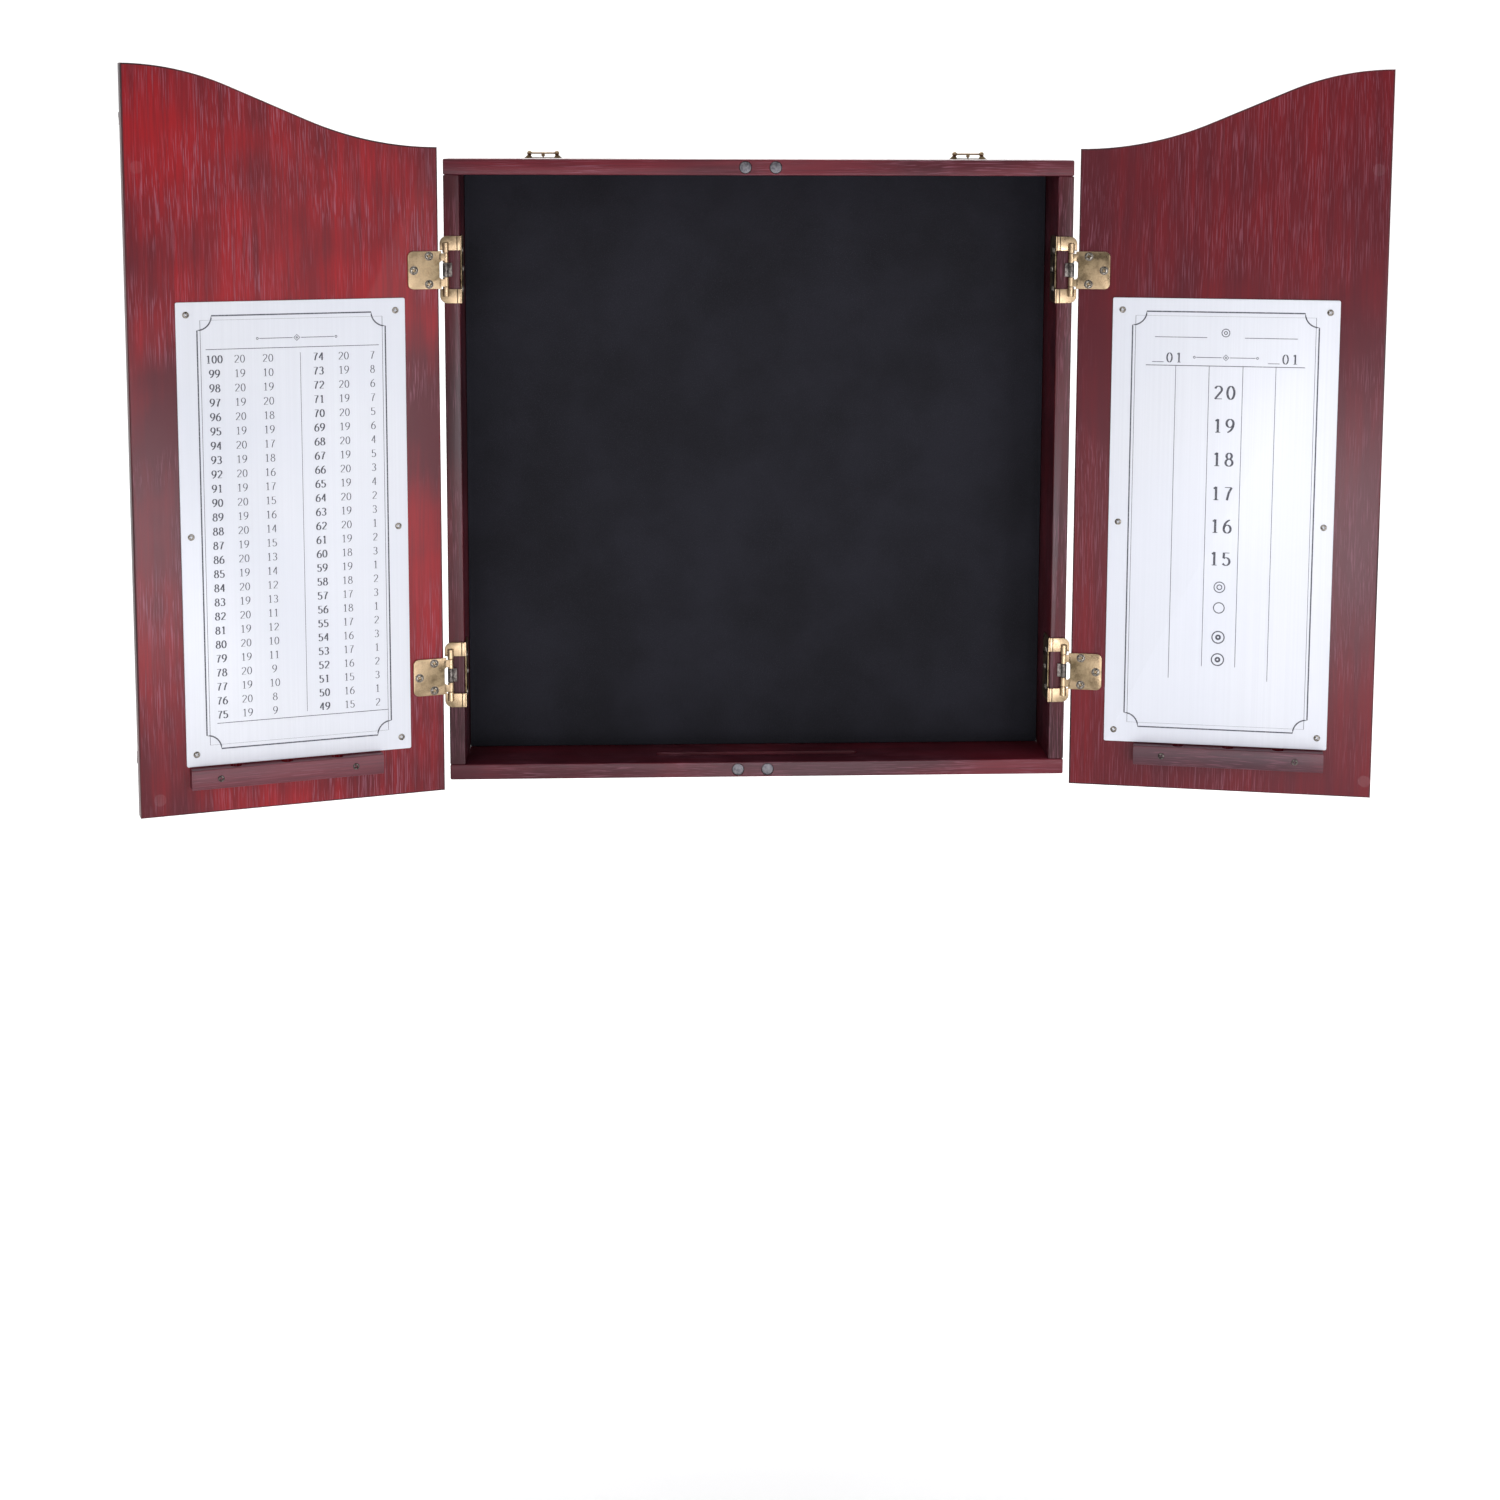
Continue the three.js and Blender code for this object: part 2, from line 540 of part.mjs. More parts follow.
// Seen from above: a strip whose back, against the door, has three round-ended slots for darts.
function dartHolder() {
  const [x, z] = doorPlace([HOLDER_FROM_EDGE, HOLDER_BOTTOM]);
  const back = BACK_Y + GAP;
  const strip = block([x, x + HOLDER_LENGTH], [back, back + HOLDER_DEPTH], [z, z + HOLDER_HEIGHT]);
  const slotEnd = back + DART_SLOT_STRAIGHT;
  const high = [z - 1, z + HOLDER_HEIGHT + 1];
  const slots = [-1, 0, 1].map((step) => {
    const middle = x + HOLDER_LENGTH / 2 + step * DART_SPACING;
    const straight = block([middle - DART_SLOT_HALF, middle + DART_SLOT_HALF], [BACK_Y, slotEnd], high);
    return join(straight, rodZ(DART_SLOT_HALF, middle, slotEnd, high));
  });
  const holes = holderScrews.map(([at, height]) => {
    return rodY(SHANK_RADIUS + GAP, at, [BACK_Y, BACK_Y + HOLDER_DEPTH + 1], height, HOLE_SIDES);
  });
  return cut(strip, ...slots, ...holes);
}

for (const [side, sign] of SIDES) {
  const name = (part) => `${part}_${side}`;
  const door = new THREE.Group();
  door.position.set(sign * PIVOT_X, PIVOT_Y, 0);
  door.rotation.z = sign * (sign < 0 ? LEFT_OPEN : RIGHT_OPEN);
  door.scale.x = -sign;
  cabinet.add(door);

  piece(name('door_panel'), doorPanel(sign), wood, door);
  for (const [part, geometry] of Object.entries(mouldings())) {
    piece(name(`moulding_${part}`), geometry, darkWood, door);
  }
  piece(name('scoreboard'), chart(), chartPanel, door);
  chartScrews.forEach(([x, z], i) => {
    piece(name(`scoreboard_screw_${i + 1}`), screw(x, BACK_Y + CHART_THICKNESS + 2 * GAP, z), steel, door);
  });
  piece(name('dart_holder'), dartHolder(), darkWood, door);
  holderScrews.forEach(([x, z], i) => {
    piece(name(`dart_holder_screw_${i + 1}`), screw(x, BACK_Y + HOLDER_DEPTH + 2 * GAP, z), steel, door);
  });
  for (const [level, z] of LEVELS) {
    piece(name(`hinge_door_leaf_${level}`), doorLeaf().translate(0, 0, z), brass, door);
  }
  strikePlaces(sign).forEach(([x, z], i) => {
    const strike = rodY(MAGNET_RADIUS, x, [BACK_Y - STRIKE_THICKNESS, BACK_Y], z, DISC_ROUND);
    piece(name(i === 0 ? 'strike_top' : 'strike_bottom'), strike, steel, door);
  });
}

export default cabinet;
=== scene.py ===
"""Looks of the wooden dartboard cabinet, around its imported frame. Metres, in the frame's own axes.

The cabinet opens towards -Y. A door is drawn closed, as the left one, with its hinge pin at the origin and
its free edge towards +X. The right door is its mirror image. Each is then turned about its pin to the place
where the frame has it at rest.
"""

import json
import math

import bmesh
import bpy
from mathutils import Matrix, Vector, noise
from mathutils.geometry import tessellate_polygon


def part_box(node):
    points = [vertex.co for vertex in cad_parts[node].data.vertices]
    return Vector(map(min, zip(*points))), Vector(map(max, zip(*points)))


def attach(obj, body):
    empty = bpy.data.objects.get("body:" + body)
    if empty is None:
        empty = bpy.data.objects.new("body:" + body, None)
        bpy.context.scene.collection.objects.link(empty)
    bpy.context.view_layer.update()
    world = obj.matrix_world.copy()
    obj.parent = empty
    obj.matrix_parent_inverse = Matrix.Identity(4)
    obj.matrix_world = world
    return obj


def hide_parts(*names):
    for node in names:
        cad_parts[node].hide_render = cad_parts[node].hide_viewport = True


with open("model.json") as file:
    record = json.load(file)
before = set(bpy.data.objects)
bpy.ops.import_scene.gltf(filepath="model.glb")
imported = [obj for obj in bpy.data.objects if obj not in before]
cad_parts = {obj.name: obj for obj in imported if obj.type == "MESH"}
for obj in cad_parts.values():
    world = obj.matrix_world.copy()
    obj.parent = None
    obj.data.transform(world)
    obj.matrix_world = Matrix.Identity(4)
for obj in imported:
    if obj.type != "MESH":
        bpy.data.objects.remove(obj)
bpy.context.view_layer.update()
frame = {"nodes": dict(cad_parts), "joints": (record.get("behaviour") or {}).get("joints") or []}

MM = 0.001
SIDES = {"left": -1, "right": 1}

# ---- places and sizes, read from the frame ------------
joints = {joint["child"]: joint for joint in frame["joints"]}
pins = {side: Vector(joints[side + "_door"]["pos_m"]) for side in SIDES}
opened = {side: math.radians(joints[side + "_door"]["range_deg"][1]) for side in SIDES}


def door_matrix(side):
    """From a door's own space to the frame, at rest."""
    turn = SIDES[side] * opened[side]
    return Matrix.Translation(pins[side]) @ Matrix.Rotation(turn, 4, "Z")


def door_box(node, side):
    """A door node's lowest and highest corner in the closed door's space, drawn as the left door."""
    back = door_matrix(side).inverted()
    corners = [back @ v.co for v in frame["nodes"][node].data.vertices]
    corners = [Vector((-SIDES[side] * c.x, c.y, c.z)) for c in corners]
    return [Vector([pick(c[axis] for c in corners) for axis in range(3)]) for pick in (min, max)]


panel_low, panel_high = door_box("door_panel_left", "left")
chart_low, chart_high = door_box("scoreboard_left", "left")
holder_low, holder_high = door_box("dart_holder_left", "left")
leaf_high = door_box("hinge_door_leaf_upper_left", "left")[1]
top_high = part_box("case_top")[1]
panel_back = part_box("back_panel")
felt_low, felt_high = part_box("felt_lining")

leaf_near = panel_low.x - 2 * MM
chart_front = panel_high.y + 1.8 * MM

# A door's top is a hollow arc at the hinge edge and a crown arc at the free edge, with a slope between.
WIDTH = panel_high.x - panel_low.x
ARCH_ANGLE = math.radians(23)
EDGE_HEIGHT = 537 * MM
HOLLOW = 270 * MM
CROWN = 210 * MM
HINGE_LEVEL = {"upper": 169.5 * MM, "lower": -169.5 * MM}
TINY = 0.01 * MM

# ---- camera, light and floor ------------
CAMERA_PLACE = Vector((-0.1071, -2.0896, 0.2820))
CAMERA_PITCH = math.radians(7.16)
CAMERA_YAW = math.radians(-2.97)
CAMERA_ROLL = math.radians(0.19)
CAMERA_LENS = 58.74
CAMERA_SENSOR = 36
CAMERA_SHIFT = (-0.0047, -0.2067)


def make_camera():
    data = bpy.data.cameras.new("camera")
    data.lens = CAMERA_LENS
    data.sensor_width = CAMERA_SENSOR
    data.shift_x, data.shift_y = CAMERA_SHIFT
    camera = bpy.data.objects.new("camera", data)
    camera.location = CAMERA_PLACE
    level = Matrix(((1, 0, 0), (0, 0, -1), (0, 1, 0)))
    look = Matrix.Rotation(CAMERA_PITCH, 3, "X") @ Matrix.Rotation(CAMERA_YAW, 3, "Y") @ level
    look = Matrix.Rotation(CAMERA_ROLL, 3, "Z") @ look
    camera.rotation_euler = Matrix((look[0], -look[1], -look[2])).transposed().to_euler()
    bpy.context.scene.collection.objects.link(camera)
    bpy.context.scene.camera = camera


def softbox(name, place, target, size, power, tint=(1, 1, 1)):
    data = bpy.data.lights.new(name, "AREA")
    data.shape = "RECTANGLE"
    data.size, data.size_y = size
    data.energy = power
    data.color = tint
    lamp = bpy.data.objects.new(name, data)
    lamp.location = place
    lamp.rotation_euler = (Vector(target) - Vector(place)).to_track_quat("-Z", "Y").to_euler()
    bpy.context.scene.collection.objects.link(lamp)


def make_floor():
    """A pale floor that curves up into a backdrop."""
    floor_z, top_z = -0.80, 5.0
    near_y, back_y = -9.0, 3.2
    half_width = 9.0
    bend = 1.2
    steps = 12
    profile = [(near_y, floor_z), (back_y - bend, floor_z)]
    for i in range(1, steps + 1):
        angle = math.pi / 2 * i / steps
        profile.append((back_y - bend + bend * math.sin(angle), floor_z + bend * (1 - math.cos(angle))))
    profile.append((back_y, top_z))
    points = [Vector((x, y, z)) for y, z in profile for x in (-half_width, half_width)]
    faces = [(2 * i, 2 * i + 1, 2 * i + 3, 2 * i + 2) for i in range(len(profile) - 1)]
    mesh = bpy.data.meshes.new("floor")
    mesh.from_pydata(points, [], faces)
    mesh.polygons.foreach_set("use_smooth", [True] * len(faces))
    floor = bpy.data.objects.new("floor", mesh)
    bpy.context.scene.collection.objects.link(floor)
    paint = Paint("pale_floor", Base_Color=(0.93, 0.93, 0.93, 1), Roughness=0.9, Specular_IOR_Level=0.1,
                  Emission_Color=(1, 1, 1, 1), Emission_Strength=0.12)
    mesh.materials.append(paint.material)


def make_world():
    """White all round: full strength where it is seen, and softer as a light."""
    world = bpy.data.worlds.new("studio")
    world.use_nodes = True
    nodes, links = world.node_tree.nodes, world.node_tree.links
    nodes["Background"].inputs["Color"].default_value = (1, 1, 1, 1)
    light_path = nodes.new("ShaderNodeLightPath")
    strength = nodes.new("ShaderNodeMapRange")
    strength.inputs["To Min"].default_value = 0.42
    strength.inputs["To Max"].default_value = 1.0
    links.new(light_path.outputs["Is Camera Ray"], strength.inputs["Value"])
    links.new(strength.outputs[0], nodes["Background"].inputs["Strength"])
    bpy.context.scene.world = world
    bpy.context.scene.view_settings.view_transform = "Standard"


def make_lamps():
    """Soft boxes: name, place, target, size, watts and tint."""
    softbox("key", (-1.5, -2.6, 2.1), (0, 0, 0), (1.8, 1.8), 22)
    softbox("fill", (1.9, -2.4, 0.5), (0.1, 0, 0), (1.6, 2.0), 13, (0.96, 0.97, 1))
    softbox("low_front", (-0.4, -3.2, -0.55), (0, 0, -0.1), (2.4, 0.5), 14, (0.95, 0.95, 1))
    softbox("right_sheen", (0.35, -2.6, -0.55), (0.45, 0, -0.1), (0.6, 0.8), 17, (0.92, 0.92, 1))
    softbox("left_sheen", (1.25, -2.1, -0.35), (-0.3, 0, 0), (0.4, 1.2), 10, (0.94, 0.93, 1))
    softbox("back", (0.3, 2.4, 1.6), (0, 0, 0), (2.4, 1.4), 40)
    softbox("backdrop", (0, 0.9, 2.6), (0, 3.0, -0.2), (4, 1.0), 60)


# ---- node materials ------------
def tone(red, green, blue):
    """A display colour, 0 to 255, as the linear colour that shaders take."""
    shares = [c / 255 for c in (red, green, blue)]
    return (*(c / 12.92 if c <= 0.04045 else ((c + 0.055) / 1.055) ** 2.4 for c in shares), 1)


class Paint:
    """One node material. Calling it adds a node; its inputs take sockets or plain values."""

    def __init__(self, name, **shader):
        self.material = bpy.data.materials.new(name)
        self.material.use_nodes = True
        self.tree = self.material.node_tree
        self.shader = self.tree.nodes["Principled BSDF"]
        for socket, value in shader.items():
            self.set(self.shader.inputs[socket.replace("_", " ")], value)

    def set(self, socket, value):
        if isinstance(value, bpy.types.NodeSocket):
            self.tree.links.new(value, socket)
        else:
            socket.default_value = value

    def __call__(self, kind, output=0, inputs=None, **settings):
        node = self.tree.nodes.new("ShaderNode" + kind)
        for key, value in settings.items():
            setattr(node, key, value)
        for socket, value in (inputs or {}).items():
            self.set(node.inputs[socket], value)
        return node.outputs[output]

    def stretched(self, source, scale, offset=(0, 0, 0)):
        return self("Mapping", inputs={"Vector": source, "Scale": scale, "Location": offset})

    def noise(self, vector, scale=1.0, detail=2.0, roughness=0.5):
        inputs = {"Vector": vector, "Scale": scale, "Detail": detail, "Roughness": roughness}
        return self("TexNoise", inputs=inputs)

    def ramp(self, value, low, high, to=(0.0, 1.0)):
        inputs = {"Value": value, "From Min": low, "From Max": high, "To Min": to[0], "To Max": to[1]}
        return self("MapRange", inputs=inputs, interpolation_type="SMOOTHSTEP")

    def math(self, operation, *values):
        return self("Math", inputs=dict(enumerate(values)), operation=operation)

    def mix(self, factor, a, b):
        return self("Mix", output=2, inputs={0: factor, 6: a, 7: b}, data_type="RGBA")

    def bump(self, height, distance, strength, below=None):
        inputs = {"Height": height, "Distance": distance, "Strength": strength}
        if below is not None:
            inputs["Normal"] = below
        return self("Bump", inputs=inputs)

    def finish(self, color, roughness, normal):
        for socket, value in (("Base Color", color), ("Roughness", roughness), ("Normal", normal)):
            self.set(self.shader.inputs[socket], value)
        return self.material


def along(axis, fine, coarse):
    """A texture scale that is coarse along the grain and fine across it."""
    return tuple(coarse if i == "XYZ".index(axis) else fine for i in range(3))


RIM_WIDTH = 35 * MM
# the colour of the painted shade laid over a door's outer face near its edges
RIM_SHADE = tone(44, 22, 26)


def door_rim(paint, place):
    """1 at the rim of a door and 0 well inside it, from the door's own coordinates: the mask of painted edge
    shade.
    """
    x = paint("SeparateXYZ", inputs={"Vector": place})
    z = x.node.outputs[2]
    along_door = paint.math("SUBTRACT", paint.math("ABSOLUTE", x), panel_low.x)
    up_door = paint.math("SUBTRACT", z, panel_low.z)
    arch = paint.ramp(along_door, 0.0, WIDTH, (EDGE_HEIGHT, panel_high.z - panel_low.z))
    nearest = paint.math("MINIMUM", along_door, paint.math("SUBTRACT", WIDTH, along_door))
    nearest = paint.math("MINIMUM", nearest, up_door)
    nearest = paint.math("MINIMUM", nearest, paint.math("SUBTRACT", arch, up_door))
    return paint.ramp(nearest, 0.0, RIM_WIDTH, (1.0, 0.0))


def wood(name, axis, red, dark, pore, seed, pores=0.3, rim=0.0, patch_size=6.5):
    """Stained, lacquered wood with its grain along an axis: patchy stain, streaks and open pores.

    pores says how strongly the pores show, and rim how strongly painted shade darkens a door near its edges.
    """
    paint = Paint(name, Specular_IOR_Level=0.1, Coat_Weight=0.35, Coat_Roughness=0.3)
    place = paint("TexCoord", output=3)
    shifted = paint.stretched(place, (1, 1, 1), (seed, seed * 1.7, seed * 0.6))
    wander = paint.noise(paint.stretched(shifted, along(axis, 7, 1.4)), detail=2)
    bent = paint("VectorMath", operation="MULTIPLY_ADD", inputs={0: wander, 1: (0.03,) * 3, 2: shifted})
    patch = paint.noise(shifted, scale=patch_size, detail=3, roughness=0.55)
    bars = paint.noise(paint.stretched(bent, along(axis, 60, 3)), detail=4, roughness=0.6)
    streaks = paint.noise(paint.stretched(bent, along(axis, 620, 11)), detail=4, roughness=0.65)
    holes = paint.noise(paint.stretched(bent, along(axis, 1500, 38)), detail=2, roughness=0.5)
    broken = paint.ramp(paint.noise(shifted, scale=14, detail=2), 0.35, 0.62)
    holes = paint.math("MULTIPLY", paint.ramp(holes, 0.54, 0.64), broken)

    stain = paint.math("ADD", paint.math("MULTIPLY", patch, 0.62), paint.math("MULTIPLY", bars, 0.38))
    color = paint.mix(paint.ramp(stain, 0.38, 0.64), dark, red)
    color = paint.mix(paint.ramp(streaks, 0.35, 0.60, (0.4, 0.0)), color, dark)
    # the pores take the pore colour: a real dark pore tone on some woods, and on others a pale lilac that is
    # painted sheen
    color = paint.mix(paint.math("MULTIPLY", holes, pores), color, pore)
    # painted shade: the outer face darkens towards the door's edges, more in some patches than others
    if rim:
        near = paint.math("MULTIPLY", door_rim(paint, place), paint.ramp(patch, 0.30, 0.62, (1.25, 0.55)))
        color = paint.mix(paint.math("MULTIPLY", near, rim), color, RIM_SHADE)
    polish = paint.ramp(streaks, 0.3, 0.7, (0.35, 0.48))
    roughness = paint.math("ADD", polish, paint.math("MULTIPLY", holes, 0.15))
    normal = paint.bump(streaks, 0.00008, 0.6)
    normal = paint.bump(paint.math("SUBTRACT", 1.0, holes), 0.00012, 0.7, normal)
    return paint.finish(color, roughness, normal)


def antique_brass(name):
    """Brushed, browned brass: olive brown, with a painted highlight on its sharp edges."""
    paint = Paint(name, Metallic=1.0, Anisotropic=0.2)
    place = paint("TexCoord", output=3)
    cloud = paint.noise(place, scale=150, detail=4, roughness=0.6)
    spots = paint.noise(place, scale=900, detail=3, roughness=0.6)
    # painted highlight: sharp edges, found by their pointiness, are lightened to a pale brass
    edge = paint.ramp(paint("NewGeometry", output=7), 0.50, 0.56)
    color = paint.mix(paint.ramp(cloud, 0.38, 0.62), tone(74, 63, 44), tone(116, 102, 78))
    color = paint.mix(paint.ramp(spots, 0.50, 0.66, (0.0, 0.6)), color, tone(60, 46, 30))
    color = paint.mix(paint.math("MULTIPLY", edge, 0.6), color, tone(214, 186, 150))
    return paint.finish(color, paint.ramp(cloud, 0.3, 0.7, (0.26, 0.44)), paint.bump(spots, 0.00004, 0.5))


def plated_steel(name, light, dark, rough):
    """Dull plated metal, clouded by handling."""
    paint = Paint(name, Metallic=1.0)
    place = paint("TexCoord", output=3)
    cloud = paint.noise(place, scale=420, detail=3, roughness=0.6)
    color = paint.mix(paint.ramp(cloud, 0.35, 0.65), dark, light)
    roughness = paint.ramp(cloud, 0.3, 0.7, (rough - 0.06, rough + 0.1))
    return paint.finish(color, roughness, paint.bump(cloud, 0.00003, 0.4))


def black_felt(name):
    """Pressed fibre: near black with a soft sheen, lint and slow changes where the nap turns."""
    paint = Paint(name, Specular_IOR_Level=0.2, Sheen_Weight=0.35, Sheen_Roughness=0.6,
                  Sheen_Tint=tone(120, 122, 140))
    place = paint("TexCoord", output=3)
    nap = paint.noise(place, scale=9, detail=3, roughness=0.6)
    fibre = paint.noise(place, scale=1500, detail=4, roughness=0.7)
    lint = paint("TexVoronoi", inputs={"Vector": place, "Scale": 420.0}, feature="DISTANCE_TO_EDGE")
    color = paint.mix(paint.ramp(nap, 0.3, 0.7), tone(15, 15, 19), tone(25, 25, 31))
    color = paint.mix(paint.ramp(fibre, 0.52, 0.72, (0.0, 0.45)), color, tone(62, 61, 70))
    normal = paint.bump(fibre, 0.0003, 0.7, paint.bump(lint, 0.0002, 0.25))
    return paint.finish(color, 0.95, normal)


def white_panel(name):
    """White lacquered sheet metal, brushed up and down under its lacquer."""
    paint = Paint(name, Specular_IOR_Level=0.3, Coat_Weight=0.12, Coat_Roughness=0.2)
    place = paint("TexCoord", output=3)
    brushed = paint.noise(paint.stretched(place, (700, 700, 3)), detail=3, roughness=0.6)
    cloud = paint.noise(place, scale=7, detail=2)
    color = paint.mix(paint.ramp(brushed, 0.3, 0.7), tone(206, 208, 213), tone(210, 212, 217))
    color = paint.mix(paint.ramp(cloud, 0.35, 0.65, (0.0, 0.5)), color, tone(203, 206, 214))
    roughness = paint.ramp(brushed, 0.3, 0.7, (0.3, 0.36))
    return paint.finish(color, roughness, paint.bump(brushed, 0.00001, 0.2))


def ink(name, color):
    """Printed ink, worn pale in specks."""
    paint = Paint(name, Specular_IOR_Level=0.4)
    place = paint("TexCoord", output=3)
    worn = paint.noise(place, scale=800, detail=3, roughness=0.6)
    pale = tuple(c + (1 - c) * 0.25 for c in color[:3]) + (1,)
    speckled = paint.mix(paint.ramp(worn, 0.5, 0.75), color, pale)
    return paint.finish(speckled, 0.5, paint.bump(worn, 0.00002, 0.3))


# pale lilac for the pores: painted sheen on the open pores
LILAC_PORE_SHEEN = tone(150, 96, 112)
BEAD_WOOD = (tone(98, 20, 26), tone(40, 12, 16), tone(30, 10, 14))
materials = {
    "inside_left": wood("left_inside_wood", "Z", tone(142, 10, 20), tone(78, 12, 24), LILAC_PORE_SHEEN,
                        seed=2.3, pores=0.5),
    "inside_right": wood("right_inside_wood", "Z", tone(108, 10, 21), tone(76, 13, 25), LILAC_PORE_SHEEN,
                         seed=6.2, pores=0.28, patch_size=4),
    # the outer face carries painted shade near the door's edges (rim)
    "outside": wood("door_outside_wood", "Z", tone(124, 17, 24), tone(76, 15, 21), tone(40, 10, 14),
                    seed=5.1, pores=0.7, rim=0.7),
    "edge": wood("door_edge_wood", "Z", tone(96, 26, 34), tone(48, 18, 24), tone(30, 12, 16),
                 seed=8.4, pores=0.5),
    # the side boards are darker than the rails: their own tone, deepened with painted shade for the case
    # sides
    "upright": wood("case_upright_shaded_wood", "Z", tone(80, 16, 24), tone(48, 12, 19), LILAC_PORE_SHEEN, seed=11.2),
    "rail": wood("case_rail_wood", "X", tone(100, 22, 34), tone(62, 16, 26), LILAC_PORE_SHEEN, seed=13.9, pores=0.35),
    "moulding": wood("moulding_wood", "Z", *BEAD_WOOD, seed=17.3, pores=0.6),
    "moulding_level": wood("moulding_level_wood", "X", *BEAD_WOOD, seed=19.7, pores=0.6),
    "holder": wood("holder_wood", "X", tone(104, 48, 56), tone(66, 36, 44), LILAC_PORE_SHEEN, seed=23.1),
    "plywood": wood("back_panel_wood", "Z", tone(86, 34, 36), tone(58, 26, 28), tone(40, 18, 20),
                    seed=29.5, pores=0.5),
    "brass": antique_brass("antique_brass"),
    "steel": plated_steel("plated_steel", tone(168, 162, 152), tone(96, 90, 82), 0.3),
    "dark_steel": plated_steel("dark_steel", tone(120, 114, 108), tone(62, 56, 54), 0.38),
    "magnet": plated_steel("magnet_grey", tone(112, 110, 112), tone(78, 76, 80), 0.45),
    "felt": black_felt("black_felt"),
    "chart": white_panel("white_panel"),
    "ink": ink("grey_ink", tone(64, 64, 74)),
}

# ---- mesh tools ------------
TO_XZ = Matrix(((1, 0, 0, 0), (0, 0, 1, 0), (0, 1, 0, 0), (0, 0, 0, 1)))  # a drawing's height becomes Z


class Solid:
    """Closed shells collected into one mesh."""

    def __init__(self):
        self.points = []
        self.faces = []
        self.slots = []

    def add(self, shape, matrix=Matrix.Identity(4), slot=None):
        """shape is (points, faces) or (points, faces, slots). A slot is the number of a material."""
        points, faces, *slots = shape
        start = len(self.points)
        self.points += [matrix @ Vector(p) for p in points]
        self.faces += [tuple(start + i for i in face) for face in faces]
        self.slots += slots[0] if slots and slot is None else [slot or 0] * len(faces)
        return self


def mesh_of(solid, name, mirror=False):
    """A Solid as a mesh whose faces look outwards, mirrored in X if asked."""
    mesh = bpy.data.meshes.new(name)
    flip = Matrix.Scale(-1, 4, (1, 0, 0)) if mirror else Matrix.Identity(4)
    mesh.from_pydata([flip @ p for p in solid.points], [], solid.faces)
    mesh.polygons.foreach_set("material_index", solid.slots)
    tidy = bmesh.new()
    tidy.from_mesh(mesh)
    bmesh.ops.remove_doubles(tidy, verts=tidy.verts, dist=1e-7)
    bmesh.ops.recalc_face_normals(tidy, faces=tidy.faces)
    tidy.to_mesh(mesh)
    tidy.free()
    return mesh


def make(name, solid, body, paints, replaces=(), slot=None, matrix=None, mirror=False, smooth=35):
    """Turns a Solid into a piece that rides on a body. paints are names of materials."""
    mesh = mesh_of(solid, name, mirror)
    for paint in paints:
        mesh.materials.append(materials[paint])
    piece = bpy.data.objects.new(name, mesh)
    bpy.context.scene.collection.objects.link(piece)
    if matrix is not None:
        piece.matrix_world = matrix
    if smooth:
        mesh.shade_smooth()
        mesh.set_sharp_from_angle(angle=math.radians(smooth))
    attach(piece, body)
    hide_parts(*replaces)
    return piece


def make_on_door(side, name, solid, paints, replaces=(), slot=None, **options):
    """The same for a door: drawn closed as the left door, mirrored for the right one, turned to rest."""
    return make(f"{name}_{side}", solid, side + "_door", paints, replaces, slot,
                matrix=door_matrix(side), mirror=SIDES[side] > 0, **options)


def inset(loop, distance):
    """The loop moved to its left, with mitred corners: inwards for an anticlockwise loop."""
    moved = []
    for i, here in enumerate(loop):
        before = (here - loop[i - 1]).normalized()
        after = (loop[(i + 1) % len(loop)] - here).normalized()
        side = Vector((-before.y - after.y, before.x + after.x)).normalized()
        stretch = 1 / max(0.4, side.dot(Vector((-after.y, after.x))))
        moved.append(here + side * distance * stretch)
    return moved


def rim(low, high, round_off, steps=3):
    """Inset and height of each ring up the side of a plate with rounded edges."""
    turns = [math.pi / 2 * i / steps for i in range(steps + 1)]
    foot = [(round_off * (1 - math.sin(a)), low + round_off * (1 - math.cos(a))) for a in turns]
    return foot + [(distance, low + high - level) for distance, level in reversed(foot)]


def bands(rows, count, first=0):
    """Four-sided faces between rows of points, each row closed on itself."""
    faces = []
    for row in range(first, first + (rows - 1) * count, count):
        for i in range(count):
            a, b = row + i, row + (i + 1) % count
            faces.append((a, b, b + count, a + count))
    return faces


def slab(loops, low, high, round_off, slots=(0, 0, 0)):
    """A plate in X and Y between two heights. slots are for its side, underside and top.

    The first loop is its outline, anticlockwise, and the others are holes, clockwise.
    """
    stack = rim(low, high, round_off)
    points, faces = [], []
    caps = ([], [])
    for loop in loops:
        first, count = len(points), len(loop)
        for distance, level in stack:
            points += [(p.x, p.y, level) for p in inset(loop, distance)]
        faces += bands(len(stack), count, first)
        caps[0].append(range(first, first + count))
        caps[1].append(range(len(points) - count, len(points)))
    kinds = [slots[0]] * len(faces)
    for cap, slot in zip(caps, slots[1:]):
        flat = [i for ring in cap for i in ring]
        triangles = tessellate_polygon([[Vector(points[i]) for i in ring] for ring in cap])
        new = [tuple(flat)] if len(cap) == 1 else [tuple(flat[i] for i in t) for t in triangles]
        faces += new
        kinds += [slot] * len(new)
    return points, faces, kinds


def arc(centre, radius, start, end, steps):
    """Points of an arc, in degrees; radius may be a pair for an ellipse."""
    rx, ry = radius if isinstance(radius, tuple) else (radius, radius)
    angles = [math.radians(start + (end - start) * i / steps) for i in range(steps + 1)]
    return [Vector((centre[0] + rx * math.cos(a), centre[1] + ry * math.sin(a))) for a in angles]


def rounded_rectangle(low, high, radius, steps=6):
    """An outline, anticlockwise, between two corners."""
    (x0, y0), (x1, y1) = low, high
    corners = [(x1 - radius, y0 + radius, -90), (x1 - radius, y1 - radius, 0),
               (x0 + radius, y1 - radius, 90), (x0 + radius, y0 + radius, 180)]
    return [p for x, y, start in corners for p in arc((x, y), radius, start, start + 90, steps)]


